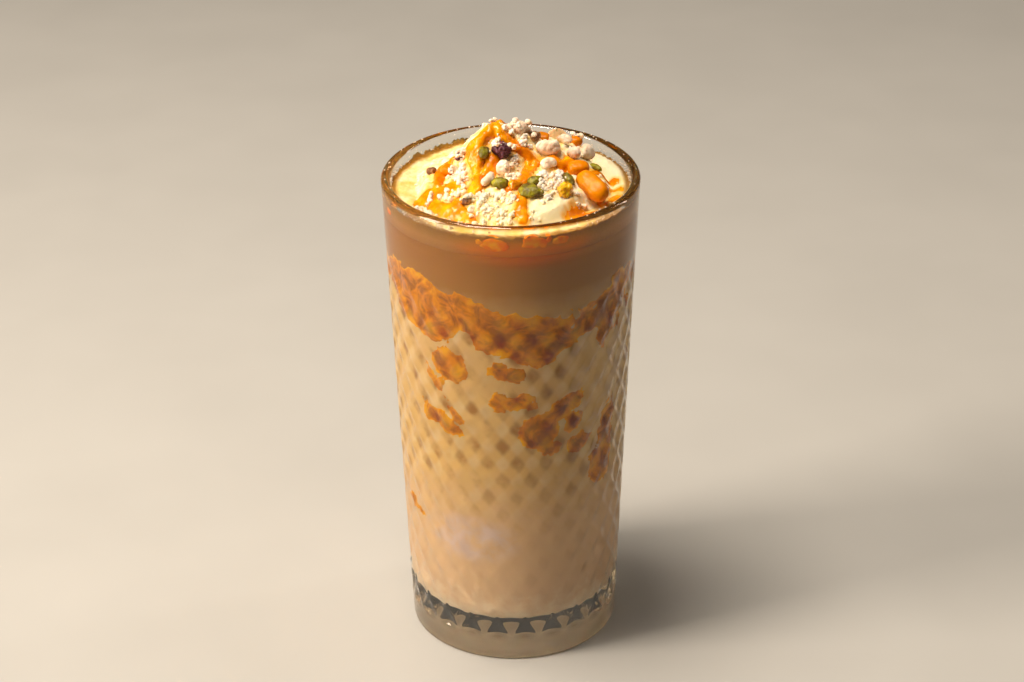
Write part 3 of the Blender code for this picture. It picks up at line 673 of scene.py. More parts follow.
sauce = {
    # each strand: half width in mm, thickness in mm, then its points
    "strands": [
        (1.9, 1.3, [(-9.8, -14.8), (-9.5, -9.5), (-9.8, -5.0), (-10.7, -1.6), (-10.6, 0.3), (-7.4, 1.4),
                    (-4.5, 3.5)]),
        (1.35, 1.2, [(-4.5, 3.5), (-3.0, 1.5), (-0.6, 0.3), (2.2, -0.6), (4.8, -1.4), (6.6, -2.2)]),
        (1.6, 0.8, [(-4.9, -4.2), (-6.2, -6.2), (-8.2, -8.0)]),
        (1.8, 1.0, [(-17.4, 5.6), (-19.8, 2.8), (-21.0, -2.7), (-21.3, -8.2)]),
        (2.9, 0.7, [(-16.6, -11.0), (-20.6, -9.9), (-24.2, -9.1), (-25.6, -10.6)]),
        (2.2, 0.6, [(-22.6, -15.8), (-20.3, -18.0), (-17.5, -19.9), (-14.7, -22.6), (-12.7, -25.4)]),
        (1.9, 0.6, [(-15.0, -17.6), (-15.6, -21.4)]),
        (1.9, 0.9, [(6.2, -3.0), (4.6, -7.2), (3.9, -11.4)]),
        (1.6, 0.5, [(3.6, -17.8), (2.9, -21.6), (3.2, -26.4)]),
        (2.1, 0.25, [(17.4, -22.2), (20.4, -20.4), (24.0, -19.0)]),
        (1.3, 0.28, [(24.6, 0.4), (28.2, 1.9), (30.8, 1.5)]),
        (1.2, 0.22, [(28.4, -3.5), (32.2, -3.6)]),
        (1.4, 0.3, [(26.6, -12.8), (30.8, -8.6)]),
        (1.5, 1.0, [(-3, 8.5), (-1.5, 13), (1.5, 18)]),
        (1.8, 0.8, [(13.0, -2.4), (15.3, -2.6), (17.4, -1.0)]),
        (1.5, 0.6, [(0.2, -14.0), (1.6, -12.4), (3.6, -12.2)]),
    ],
    "step": 0.3 * mm, "reach": 33 * mm, "sunk": 0.5 * mm, "depth": 0.8 * mm, "slopeStep": 0.4 * mm,
}


def alongStrand(points, count=40):
    # smooth run of places through the strand's points
    points = np.array([points[0]] + list(points) + [points[-1]], float)
    places = []
    for a, b, c, d in zip(points, points[1:], points[2:], points[3:]):
        for t in np.linspace(0, 1, count, endpoint=False):
            places.append(0.5 * (2 * b + (c - a) * t + (2 * a - 5 * b + 4 * c - d) * t ** 2
                                 + (3 * b - a - 3 * c + d) * t ** 3))
    places.append(points[-1])
    return np.array(places) * mm


def sauceThickness(x, y):
    # in mm: a rounded bead across each strand, and below 0 outside them
    flat = np.stack([x, y, np.full(x.shape, 0.2)], -1).reshape(-1, 3)
    wide = (lumps(flat, 5.0, 4.0, 2) * 0.45 + lumps(flat, 1.5, 31.0, 1) * 0.3).reshape(x.shape)
    thick = np.full(x.shape, -3.0)
    for half, depth, points in sauce["strands"]:
        run = alongStrand(points, 10)
        gap = np.min([np.hypot(x - px, y - py) for px, py in run], 0) / mm
        share = gap / (half * (1 + wide))
        bead = np.where(share < 1, np.clip(1 - share ** 2, 0, 1) ** 0.6 * depth, (1 - share) * 1.2)
        thick = np.maximum(thick, bead)
    return thick * np.where(thick > 0, 1 + 0.42 * lumps(flat, 1.7, 12.0, 2).reshape(x.shape), 1)


def addStain(piece):
    # how near the sauce is, for the yellow that it leaves
    places = np.array([v.co for v in piece.data.vertices])
    addValues(piece, "stain", smoothStep(-1.1, 0.0, sauceThickness(places[:, 0], places[:, 1])))


def makeCream(material):
    columns = 360
    wall = innerRadius(creamShape["seat"]) + intoWall
    radii = np.concatenate([np.linspace(0.08, 0.55, 8), np.linspace(0.6, 1, 44)]) * wall

    def height(x, y):
        flat = np.stack([x, y, np.full(len(x), 0.1)], -1)
        ragged = smoothStep(0.9, 1.0, np.hypot(x, y) / wall) * lumps(flat, 0.9, 17.0, 2) * 0.4
        bump = lumps(flat, 4.2, 1.0, 2) * 0.35 + pillows(flat, 1.5, 7.0, 2) * 0.22 + ragged
        return creamHeight(x, y) + bump * mm

    def ringAt(radius, z):
        return np.stack([radius * np.cos(angles), radius * np.sin(angles), z], -1)

    rings = polarRings(radii, columns, height)
    angles = np.linspace(0, math.tau, columns, endpoint=False)
    # a thin ragged film climbs the wall, lower at the front
    film = 2.2 * np.clip(lumps(rings[-1], 7.0, 23.0, 3) + 0.12, 0, None)
    film += 0.9 * lumps(rings[-1], 1.1, 29.0, 3)
    top = rings[-1][:, 2] + (0.25 + np.clip(film, 0, None) * (0.6 + 0.4 * np.sin(angles))) * mm
    rings[-1] = ringAt(innerRadius(top) + intoWall, top)
    # the skirt down the wall ends in a ragged hem that dips into the milk
    hem = milkTop - (0.3 + 0.5 * lumps(rings[-1], 5.0, 13.0, 3)) * mm
    for share in np.linspace(0.1, 1, 12):
        z = top * (1 - share) + hem * share
        inwards = (0.03 * smoothStep(0, 0.5, share) - 0.16 * smoothStep(0.84, 1, share)) * mm
        rings.append(ringAt(innerRadius(z) + intoWall + inwards, z))
    rings.append(rings[-1] * np.array([1 - 0.5 * mm / wall, 1 - 0.5 * mm / wall, 1]))
    points, faces = ringSkin(rings, (0, 0, creamShape["seat"]), (0, 0, milkTop - 0.05 * mm))
    piece = addPiece("thickCream", points, faces, material)
    faceOutwards(piece)
    addStain(piece)
    return piece


def makeHeapCore(material):
    columns = 420
    radii = np.linspace(0.012, 1, 110)
    angles = np.linspace(0, math.tau, columns, endpoint=False)
    rings = []
    for share in radii:
        radius = (heapEdge(angles) + 1.0 * mm) * share
        x = radius * np.cos(angles)
        y = radius * np.sin(angles)
        flat = np.stack([x, y, heapHeight(x, y)], -1)
        off = np.hypot(x / mm - heap["smoothPlace"][0], y / mm - heap["smoothPlace"][1])
        smooth = np.exp(-(off / heap["smoothSpread"]) ** 2)
        bump = (lumps(flat, 3.4, 2.0, 2) * 0.5 + pillows(flat, 2.3, 9.0, 1) * 0.55) * (1 - 0.8 * smooth)
        z = groundHeight(x, y) + bump * mm * smoothStep(1.0, 0.9, share) - 0.05 * mm
        rings.append(np.stack([x, y, z], -1))
    low = creamShape["seat"] - 0.6 * mm
    last = rings[-1].copy()
    last[:, 2] = low
    rings.append(last)
    points, faces = ringSkin(rings, (0, 0, float(heapHeight(0, 0))), (0, 0, low))
    piece = addPiece("crumbHeap", points, faces, material)
    faceOutwards(piece)
    addStain(piece)
    return piece


# Thick cream, whipped lightly and set on the milk: pale yellow-white, soft, with fine open grains
creamMaterial, tree, shader, place = startMaterial("thickCreamSpooned", {
    "Roughness": 0.5, "IOR": 1.38, "Specular IOR Level": 0.3, "Subsurface Weight": 0.4,
    "Subsurface Scale": 1.4 * mm, "Subsurface Radius": (1.0, 0.8, 0.5),
})
blotches = addNode(tree, "ShaderNodeTexNoise", blotchesOf(5, 4), {"Vector": place})
tint = addNode(tree, "ShaderNodeValToRGB", {"stops": [(0.32, "F4CA62"), (0.48, "FCDE92"), (0.62, "FFEFC0")]},
               {"Fac": blotches})
puff = nearPlace(tree, place, (29, 11, 147), (9, 12, 5))
stain = addNode(tree, "ShaderNodeAttribute", {"attribute_name": "stain"}).outputs["Fac"]
yellow = addNode(tree, "ShaderNodeMath", {"operation": "MULTIPLY", 1: 0.7}, {0: stain})
for share, code in ((puff, "FFECC4"), (yellow, "F9BC3A")):
    tint = addNode(tree, "ShaderNodeMix", {"data_type": "RGBA", 7: toLinear(code)}, {0: share, 6: tint})
# painted shade: against the glass the cream is darkened brown, in shade below the rim, and it is soaked with
# mango juice at the front and the rear
plain = heightRamp(tree, place, 140, 146.4, [
    (0.0, "B67C36"), (0.4, "BE8438"), (0.75, "AA761C"), (0.9, "A4701E"), (1.0, "A07434"),
], 1.6)
juicy = heightRamp(tree, place, 140, 146.4, [
    (0.0, "CC740A"), (0.3, "EA8000"), (0.62, "DE8600"), (0.84, "BC7C10"), (1.0, "A87828"),
], 1.6)
front = nearPlace(tree, place, (6, -34, 143), (24, 12, 9))
rear = nearPlace(tree, place, (-8, 34, 143), (20, 12, 9))
soaked = addNode(tree, "ShaderNodeMath", {"operation": "MAXIMUM"}, {0: front, 1: rear})
side = addNode(tree, "ShaderNodeMix", {"data_type": "RGBA"}, {0: soaked, 6: plain, 7: juicy})
radial = addNode(tree, "ShaderNodeVectorMath", {"operation": "MULTIPLY", 1: (1, 1, 0)}, {0: place})
radius = addNode(tree, "ShaderNodeVectorMath", {"operation": "LENGTH"}, {0: radial})
edge = addNode(tree, "ShaderNodeMapRange", {1: 32.7 * mm, 2: 33.9 * mm}, {0: radius})
tint = addNode(tree, "ShaderNodeMix", {"data_type": "RGBA"}, {0: edge, 6: tint, 7: side})
grain = addNode(tree, "ShaderNodeTexNoise", blotchesOf(0.9, 4, 0.7), {"Vector": place})
finishMaterial(tree, shader, tint, grain, 0.2 * mm)
cream = makeCream(creamMaterial)
settle(cream, "cream", "cream")
print("cream built")

# Cream and crumbled milk solids pushed into a heap: off-white, rough, with yellow hollows
heapMaterial, tree, shader, place = startMaterial("creamAndCrumbMix", {
    "Roughness": 0.62, "IOR": 1.4, "Specular IOR Level": 0.3, "Subsurface Weight": 0.3,
    "Subsurface Scale": 1.0 * mm, "Subsurface Radius": (1.0, 0.75, 0.45),
})
blotches = addNode(tree, "ShaderNodeTexNoise", blotchesOf(3.2, 5, 0.62), {"Vector": place})
tint = addNode(tree, "ShaderNodeValToRGB", {"stops": [
    (0.3, "ECB852"), (0.44, "FADA90"), (0.56, "FFECC4"), (0.7, "FFF6E0"),
]}, {"Fac": blotches})
plain = nearPlace(tree, place, (*heap["smoothPlace"], 149), (8, 7, 6))
stain = addNode(tree, "ShaderNodeAttribute", {"attribute_name": "stain"}).outputs["Fac"]
yellow = addNode(tree, "ShaderNodeMath", {"operation": "MULTIPLY", 1: 0.9}, {0: stain})
for share, code in ((plain, "FFECC0"), (yellow, "F6AE28")):
    tint = addNode(tree, "ShaderNodeMix", {"data_type": "RGBA", 7: toLinear(code)}, {0: share, 6: tint})
grain = addNode(tree, "ShaderNodeTexNoise", blotchesOf(0.7, 4, 0.75), {"Vector": place})
finishMaterial(tree, shader, tint, grain, 0.2 * mm)
heapCore = makeHeapCore(heapMaterial)
settle(heapCore, "crumbs", "crumb_heap")
print("heap built")


def makeSauce(material):
    # a closed sheet on the ground, cut to the cells where there is sauce
    s = sauce
    side = np.arange(-s["reach"], s["reach"] + s["step"], s["step"])
    x, y = np.meshgrid(side, side)
    thick = np.clip(sauceThickness(x, y) * mm, -s["sunk"], None)
    step = s["slopeStep"]
    slopeX = (groundHeight(x + step, y) - groundHeight(x - step, y)) / (2 * step)
    slopeY = (groundHeight(x, y + step) - groundHeight(x, y - step)) / (2 * step)
    length = np.sqrt(slopeX ** 2 + slopeY ** 2 + 1)
    normal = np.stack([-slopeX / length, -slopeY / length, 1 / length], -1)
    ground = np.stack([x, y, groundHeight(x, y)], -1)
    top = ground + normal * thick[..., None]
    low = ground - normal * s["depth"]
    kept = (thick > -s["sunk"] * 0.9) & (np.hypot(x, y) < innerRadius(creamShape["seat"]) - 0.3 * mm)
    cells = kept[:-1, :-1] & kept[1:, :-1] & kept[:-1, 1:] & kept[1:, 1:]
    used = np.zeros(x.shape, bool)
    near, far = slice(None, -1), slice(1, None)
    for a, b in ((near, near), (far, near), (near, far), (far, far)):
        used[a, b] |= cells
    index = np.full(x.shape, -1)
    total = int(used.sum())
    index[used] = np.arange(total)
    points = np.concatenate([top[used], low[used]])
    faces = []
    edges = set()
    for i, j in np.argwhere(cells):
        quad = [int(index[i, j]), int(index[i, j + 1]), int(index[i + 1, j + 1]), int(index[i + 1, j])]
        faces.append(quad)
        faces.append([q + total for q in reversed(quad)])
        for a, b in zip(quad, quad[1:] + quad[:1]):
            if (b, a) in edges:
                edges.remove((b, a))
            else:
                edges.add((a, b))
    for a, b in sorted(edges):
        faces.append([b, a, a + total, b + total])
    return addPiece("mangoSauce", points, faces, material)


# Mango sauce, poured: thick and glossy, in orange that turns yellow in soft patches
sauceMaterial = mottled("mangoSaucePoured", {
    "shader": {"Roughness": 0.2, "IOR": 1.42, "Specular IOR Level": 0.35, "Subsurface Weight": 0.25,
               "Subsurface Scale": 1.2 * mm, "Subsurface Radius": (1.0, 0.6, 0.08), "Coat Weight": 0.15,
               "Coat Roughness": 0.06},
    "blotches": (4.5, 3), "stops": [(0.34, "D87000"), (0.5, "E88600"), (0.66, "FAAA0C")],
    "grain": (1.6, 3), "depth": 0.18,
})
mangoSauce = makeSauce(sauceMaterial)
settle(mangoSauce, "crumbs")
print("sauce built:", len(mangoSauce.data.polygons), "faces")


# Toppings: each one is the solid's own form, made fine

def fineCopy(nodeName, material, rounding, swell, bumps):
    # finely split copy of a solid, its edges rounded, then pushed along its normals:
    # bumps are (size mm, height mm, shift), with pillows where the height is below 0
    source = frame["nodes"][nodeName]
    mesh = source.data.copy()
    mesh.name = "fine_" + nodeName
    mesh.materials.clear()
    mesh.materials.append(material)
    piece = bpy.data.objects.new(mesh.name, mesh)
    bpy.context.scene.collection.objects.link(piece)
    bm = bmesh.new()
    bm.from_mesh(mesh)
    bmesh.ops.remove_doubles(bm, verts=bm.verts, dist=0.001 * mm)
    bm.to_mesh(mesh)
    bm.free()
    splitting = piece.modifiers.new("splitting", "SUBSURF")
    splitting.subdivision_type = "SIMPLE" if rounding else "CATMULL_CLARK"
    splitting.levels = 3
    if rounding:
        easing = piece.modifiers.new("easing", "SMOOTH")
        easing.factor = 0.5
        easing.iterations = rounding
    bpy.context.view_layer.update()
    fine = bpy.data.meshes.new_from_object(piece.evaluated_get(bpy.context.evaluated_depsgraph_get()))
    piece.modifiers.clear()
    piece.data = fine
    low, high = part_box(nodeName)
    middle = (Vector(low) + Vector(high)) / 2
    for vert in fine.vertices:
        vert.co = middle + (vert.co - middle) * swell
    fine.update()
    places = np.array([v.co for v in fine.vertices])
    normals = np.array([v.normal for v in fine.vertices])
    push = np.zeros(len(places))
    for size, height, shift in bumps:
        push += (lumps(places, size, shift, 2) if height > 0 else -pillows(places, size, shift)) * height * mm
    places += normals * push[:, None]
    fine.vertices.foreach_set("co", places.ravel())
    fine.update()
    fine.shade_smooth()
    settle(piece, slotOf[nodeName], nodeName)
    return piece


slotOf = {part["node"]: part["material_slot"] for part in frame["record"]["subparts"]}

foods = {
    # Ripe mango flesh, diced and tossed in sauce: even orange, wet and smooth
    "mangoFleshDiced": {
        "shader": {"Roughness": 0.34, "IOR": 1.4, "Specular IOR Level": 0.25, "Subsurface Weight": 0.15,
                   "Subsurface Scale": 1.6 * mm, "Subsurface Radius": (1.0, 0.7, 0.08)},
        "blotches": (5, 3), "stops": [(0.3, "D67600"), (0.55, "E08400"), (0.75, "EC9804")],
        "grain": (2.5, 2), "depth": 0.12,
    },
    # Very ripe mango, mashed small and pressed on the glass: deep orange, wet, no gloss of its own there
    "mangoFleshMashed": {
        "shader": {"Roughness": 0.4, "IOR": 1.38, "Specular IOR Level": 0.0, "Subsurface Weight": 0.1,
                   "Subsurface Scale": 0.8 * mm, "Subsurface Radius": (1.0, 0.5, 0.06)},
        "blotches": (2.5, 3), "stops": [(0.34, "FF7A00"), (0.5, "FF8E00"), (0.66, "FFA810")],
    },
    # Seedless raisin, sun dried: nearly black purple skin in soft wrinkles
    "raisinSunDried": {
        "shader": {"Roughness": 0.42, "IOR": 1.45, "Subsurface Weight": 0.1, "Subsurface Scale": 0.6 * mm},
        "blotches": (2, 4), "stops": [(0.35, "2C1014"), (0.52, "542230"), (0.7, "86505A")],
        "grain": (1.1, 4), "depth": 0.5,
    },
    # Golden raisin, dried in shade: amber, lets light through, glossy where sauce wets it
    "goldenRaisinShadeDried": {
        "shader": {"Roughness": 0.22, "IOR": 1.45, "Subsurface Weight": 0.5, "Subsurface Scale": 1.2 * mm,
                   "Subsurface Radius": (1.0, 0.5, 0.08), "Coat Weight": 0.3},
        "blotches": (2, 3), "stops": [(0.3, "B87C08"), (0.5, "E0A810"), (0.72, "F5CA24")],
        "grain": (1.1, 3), "depth": 0.4,
    },
    # Pistachio kernel, chopped: green meat with dull brown skin left on in patches
    "pistachioChopped": {
        "shader": {"Roughness": 0.42, "IOR": 1.46, "Subsurface Weight": 0.15, "Subsurface Scale": 0.8 * mm},
        "blotches": (2.6, 4),
        "stops": [(0.34, "54380E"), (0.43, "6A5C0C"), (0.56, "8E8410"), (0.74, "B4A61C")],
        "grain": (0.8, 3), "depth": 0.25,
    },
    # Almond, sliced thin: dull tan-cream, in soft patches
    "almondSliced": {
        "shader": {"Roughness": 0.5, "IOR": 1.46, "Subsurface Weight": 0.3, "Subsurface Scale": 0.8 * mm},
        "blotches": (3, 3), "stops": [(0.35, "D8AC74"), (0.55, "E6C492"), (0.7, "EFD4A8")],
        "grain": (0.9, 3), "depth": 0.12,
    },
    # Roasted nut, chopped: brown skin and paler broken faces
    "roastedNutChopped": {
        "shader": {"Roughness": 0.5, "IOR": 1.46},
        "blotches": (1.8, 4), "stops": [(0.36, "4E2A10"), (0.5, "7A4A22"), (0.66, "B98A58")],
        "grain": (0.7, 4), "depth": 0.3,
    },
    # Nut under a run of mango sauce: the sauce's gloss and orange, browner where it thins
    "nutCoatedInMangoSauce": {
        "shader": {"Roughness": 0.16, "IOR": 1.42, "Subsurface Weight": 0.3, "Subsurface Scale": 1.0 * mm,
                   "Subsurface Radius": (1.0, 0.45, 0.08), "Coat Weight": 0.4},
        "blotches": (2, 3), "stops": [(0.34, "A05408"), (0.5, "DA8208"), (0.66, "F4A414")],
    },
    # Milk solids, dried and crumbled: chalky off-white, with painted light making them paler and yellower
    # towards the front left, where they are brightly lit
    "driedMilkSolidsCrumbled": {
        "shader": {"Roughness": 0.78, "IOR": 1.42, "Subsurface Weight": 0.45, "Subsurface Scale": 1.1 * mm,
                   "Subsurface Radius": (1.0, 0.7, 0.5)},
        "blotches": (2.2, 4), "stops": [(0.3, "F2D0B0"), (0.5, "FCE4CC"), (0.68, "FFF4E6")],
        "paler": ((-9, -22, 149), (26, 13, 12), 0.7, "FFEAC2"), "grain": (0.5, 3, 0.6), "depth": 0.12,
    },
    # Milk solids in whole lumps, dried: smoother skin than the crumbs, pinkish off-white
    "driedMilkSolidsWhole": {
        "shader": {"Roughness": 0.6, "IOR": 1.42, "Subsurface Weight": 0.35, "Subsurface Scale": 1.0 * mm,
                   "Subsurface Radius": (1.0, 0.7, 0.5)},
        "blotches": (3, 3), "stops": [(0.32, "E2BE9C"), (0.5, "F0D6BA"), (0.68, "F8E8D2")],
        "grain": (0.9, 3), "depth": 0.08,
    },
}
foodMaterials = {name: mottled(name, look) for name, look in foods.items()}

toppings = {
    # kind of node: food, rounding, swell, bumps
    "mango_chunk": ("mangoFleshDiced", 0, 1.03, [(4.0, 0.25, 1), (1.6, 0.06, 5)]),
    "raisin_golden": ("goldenRaisinShadeDried", 0, 1.1, [(1.8, -0.4, 2), (0.9, 0.15, 8)]),
    "raisin": ("raisinSunDried", 0, 1.1, [(1.5, -0.65, 3), (0.8, 0.2, 9)]),
    "pistachio": ("pistachioChopped", 9, 1.08, [(3.0, 0.25, 4), (0.9, 0.05, 6)]),
    "almond_slice": ("almondSliced", 0, 1.0, [(3.0, 0.12, 2), (0.8, 0.03, 6)]),
    "nut": ("roastedNutChopped", 12, 1.05, [(1.6, 0.3, 7), (0.6, 0.12, 2)]),
    "nut_sauced": ("nutCoatedInMangoSauce", 0, 1.12, [(2.0, 0.3, 7), (0.9, 0.05, 2)]),
    "nugget": ("driedMilkSolidsWhole", 0, 1.12, [(2.7, -0.34, 3), (1.3, 0.08, 6)]),
}
larger = {"pistachio_6": 1.3, "pistachio_3": 1.12, "nut_sauced": 1.15, "raisin_golden": 1.2}
for nodeName in sorted(frame["nodes"]):
    kinds = [kind for kind in toppings if nodeName.startswith(kind)]
    if kinds:
        food, rounding, swell, bumps = toppings[max(kinds, key=len)]
        bumps = [(size, height, shift + len(nodeName) + ord(nodeName[-1])) for size, height, shift in bumps]
        fineCopy(nodeName, foodMaterials[food], rounding, swell * larger.get(nodeName, 1), bumps)
print("toppings built")


# Bits of mango in the cream's edge, pressed against the wall

mangoBits = [
    # angle in degrees, height, width, tallness in mm
    (-7.6, 144.0, 8.0, 4.6), (-3.6, 143.2, 3.6, 2.6), (9.6, 144.4, 6.6, 4.2), (14.2, 143.8, 3.4, 2.6),
    (17.2, 145.2, 2.2, 2.0), (-14.6, 144.6, 2.4, 1.8), (23, 144.2, 5.0, 3.0), (-72, 143.6, 3.4, 2.2),
    (128, 143.8, 5.0, 3.0), (-150, 143.6, 4.4, 2.8),
]
bitShape = {"depth": 1.3, "sunk": 0.5 * mm, "proud": 0.4 * mm}


def ballDirections(level):
    # directions spread evenly round a ball, and the faces between them
    bm = bmesh.new()
    bmesh.ops.create_icosphere(bm, subdivisions=level, radius=1)
    points = np.array([v.co for v in bm.verts])
    faces = np.array([[v.index for v in f.verts] for f in bm.faces])
    bm.free()
    return points / np.linalg.norm(points, axis=1)[:, None], faces


def joinedPiece(name, items, material):
    # one mesh of many items, each (points, faces)
    points = []
    faces = []
    start = 0
    for itemPoints, itemFaces in items:
        points.append(itemPoints)
        faces.append(itemFaces + start)
        start += len(itemPoints)
    return addPiece(name, np.concatenate(points), np.concatenate(faces).tolist(), material)


def makeMangoBits(material):
    directions, faces = ballDirections(4)
    items = []
    for number, (degrees, height, width, tall) in enumerate(mangoBits):
        swell = 1 + 0.3 * lumps(directions * mm, 0.9, number * 3.7)
        form = directions * swell[:, None] * np.array([width / 2, bitShape["depth"], tall / 2]) * mm
        out = innerRadius(height * mm) - bitShape["sunk"]
        z = height * mm + form[:, 2]
        radius = np.minimum(out + form[:, 1], innerRadius(z) + intoWall + bitShape["proud"])
        items.append((onWall(form[:, 0] / out + math.radians(degrees), radius, z), faces))
    return joinedPiece("mangoBits", items, material)


settle(makeMangoBits(foodMaterials["mangoFleshMashed"]), "mango")


# Loose crumbs and grains: every one a union of small balls seen from its middle, one mesh for each kind

scatter = {
    "seed": 5,
    # clusters: x, y, spread in mm, then lumps, crumbs, grains, and how high they pile in mm
    "clusters": [(-14.0, 0.8, 1.7, 4, 12, 20, 0.8), (-14.4, -3.6, 2.0, 7, 16, 26, 1.4),
                 (-14.2, -8.6, 2.0, 7, 16, 26, 1.2), (-13.6, -13.4, 1.9, 4, 12, 22, 0.8),
                 (-16.8, -2.2, 1.2, 2, 6, 12, 0.6), (-22.4, -12.8, 1.6, 3, 8, 16, 0.5),
                 (-19.0, -13.9, 1.8, 4, 10, 16, 0.6), (-16.0, -15.4, 1.5, 3, 8, 14, 0.5),
                 (-26.4, -16.0, 2.0, 3, 14, 40, 0.5), (-23.4, -19.8, 2.0, 4, 14, 40, 0.5),
                 (-19.8, -23.0, 2.0, 4, 14, 40, 0.5), (-16.6, -25.6, 2.0, 4, 12, 36, 0.4),
                 (-11.2, -17.6, 2.0, 4, 14, 26, 1.0), (-7.6, -18.1, 2.0, 6, 16, 28, 1.1),
                 (-3.3, -18.8, 2.0, 6, 16, 28, 1.1), (0.0, -19.8, 1.6, 3, 12, 22, 0.6),
                 (-10.4, -22.9, 2.4, 5, 16, 34, 0.6), (-6.4, -23.9, 2.4, 6, 16, 34, 0.7),
                 (-2.6, -25.6, 2.4, 4, 14, 34, 0.5), (-7.0, -28.4, 2.6, 2, 12, 44, 0.3),
                 (5.6, -26.8, 2.6, 1, 8, 34, 0.3), (9.6, -8.2, 1.8, 5, 12, 22, 1.0),
                 (12.2, -9.2, 1.9, 6, 14, 24, 1.3), (14.2, -6.4, 1.3, 3, 8, 14, 0.9),
                 (9.6, -14.0, 1.7, 5, 12, 22, 1.0), (12.6, -13.0, 1.5, 4, 10, 18, 0.9),
                 (10.7, -18.6, 2.0, 3, 12, 24, 0.5), (-5.6, 5.2, 1.5, 1, 12, 24, 0.3),
                 (0.2, 4.6, 1.5, 4, 8, 16, 0.4), (3.8, 1.6, 1.4, 3, 8, 14, 0.4),
                 (5.4, 7.4, 1.8, 3, 8, 16, 0.3), (1.2, -3.4, 1.3, 3, 10, 18, 0.8),
                 (0.4, -9.4, 1.3, 3, 10, 16, 0.6), (2.2, -8.2, 1.2, 2, 8, 14, 0.5),
                 (27.0, -6.4, 1.1, 2, 5, 8, 0.4), (24.9, -1.6, 1.0, 0, 5, 10, 0.2),
                 (19.6, -17.0, 1.8, 2, 8, 16, 0.4), (-12.6, -17.2, 0.8, 1, 4, 6, 0.8),
                 (18.6, 5.0, 1.6, 2, 8, 14, 0.4), (-13, 12, 5.0, 3, 12, 50, 0.5),
                 (-3, 18, 5.0, 4, 14, 50, 0.8), (12, 19, 4.6, 3, 12, 44, 0.8), (20, 12, 3.0, 1, 6, 20, 0.4),
                 (-24, 2, 4.0, 0, 3, 30, 0.0)],
    # clusters that lie on a topping: node, shift in mm, then as above
    "dusted": [("raisin_dark", -1.3, 0.9, 1.4, 3, 24, 60, 0.6),
               ("nut_cluster", -0.5, 0.8, 1.4, 1, 6, 26, 0.3),
               ("raisin_sliver", 0.6, -0.6, 1.0, 0, 3, 10, 0.1)],
    # how many of each kind slide off where sauce lies
    "offSauce": (0.5, 0.7, 0.9),
    # kinds: name, radius in mm from and to, share of the spread, then the forms: ball detail, how many,
    # balls in each, and the sizes of those
    "kinds": [("milkLumps", 0.75, 1.25, 0.6, 3, 14, 9, (0.38, 0.52)),
              ("milkCrumbs", 0.38, 0.75, 0.65, 3, 14, 8, (0.4, 0.56)),
              ("milkGrains", 0.12, 0.32, 0.75, 2, 10, 6, (0.4, 0.6))],
    # how the counts above are turned into what lies there
    "often": (1.7, 0.55, 0.3),
    # lumps seen one by one: x, y, radius, how far raised, all in mm
    "placed": [(-1.7, 2.7, 1.2, 0.5), (0.4, 2.1, 1.1, 0.8), (1.6, 4.6, 1.3, 0.8), (2.6, 2.5, 1.2, 0.9),
               (3.8, 1.5, 1.1, 0.5), (5.3, 5.0, 1.3, 0.9), (6.8, 3.0, 1.0, 0.5), (-4.3, 4.6, 0.9, 0.9),
               (-5.6, 4.2, 0.8, 0.7), (-16.1, -1.0, 1.25, 0.3), (-14.0, 1.6, 1.1, 0.2),
               (-14.3, -2.1, 1.25, 0.6), (-13.4, -5.2, 1.2, 0.6), (-14.8, -8.4, 1.25, 0.5),
               (-13.6, -12.4, 1.1, 0.4), (1.1, -3.0, 1.3, 0.5), (0.2, -5.0, 1.1, 0.4),
               (-11.6, -18.6, 1.1, 0.4), (-7.6, -18.1, 1.3, 0.5), (-3.3, -18.8, 1.3, 0.5),
               (0.7, -19.8, 1.0, 0.2), (-11.4, -22.9, 1.2, 0.3), (-7.6, -23.7, 1.3, 0.4),
               (-3.9, -25.7, 1.2, 0.2), (9.4, -8.1, 1.2, 0.5), (12.0, -9.1, 1.3, 0.8),
               (14.9, -6.6, 1.1, 0.4), (9.4, -14.4, 1.2, 0.4), (12.8, -13.4, 1.1, 0.4),
               (10.7, -18.4, 1.0, 0.2), (-26.9, -15.5, 1.3, 0.3), (-23.6, -19.2, 1.4, 0.3),
               (-20.0, -22.2, 1.4, 0.3), (-17.2, -24.6, 1.3, 0.2), (27.2, -5.7, 1.2, 0.3),
               (24.6, -3.1, 0.9, 0.2), (19.6, -17.0, 1.0, 0.2)],
    # loose grains on the rim and on the wall above the cream, gathered round these angles
    "onRim": 60, "rimAngles": (200, 250, 150, 95, 40, 320), "rimSpread": 16, "rimSize": 1.15,
    "onWall": 460, "wallAngles": (-60, 240), "wallHeight": (1.2, 1.2), "wallSize": 0.8,
    # how deep a crumb sits in what is under it, as a share of its radius
    "seat": 0.3,
}


def crumbForms(draw, level, count, balls, sizes):
    # unions of small balls, as seen from their middle
    directions, faces = ballDirections(level)
    forms = []
    for _ in range(count):
        reach = np.full(len(directions), 0.42)
        for _ in range(balls):
            centre = np.array([draw.gauss(0, 1) for _ in range(3)])
            centre *= draw.uniform(0.25, 0.56) / np.linalg.norm(centre)
            size = draw.uniform(*sizes)
            along = directions @ centre
            inside = along ** 2 - centre @ centre + size ** 2
            reach = np.maximum(reach, np.where(inside > 0, along + np.sqrt(np.clip(inside, 0, None)), 0))
        forms.append(directions * reach[:, None])
    return forms, faces


def randomTurn(draw):
    # a turn about any axis, by any angle
    axis = Vector((draw.gauss(0, 1), draw.gauss(0, 1), draw.gauss(0, 1))).normalized()
    return np.array(Matrix.Rotation(draw.uniform(0, math.tau), 3, axis))


def surfaceBelow(trees, x, y):
    # highest place under a point, its normal, and the name of the piece there
    found = []
    for name, tree in trees.items():
        at, normal = tree.ray_cast(Vector((x, y, 0.3)), Vector((0, 0, -1)))[:2]
        if at is not None:
            found.append((at, normal, name))
    return max(found, key=lambda one: one[0].z)


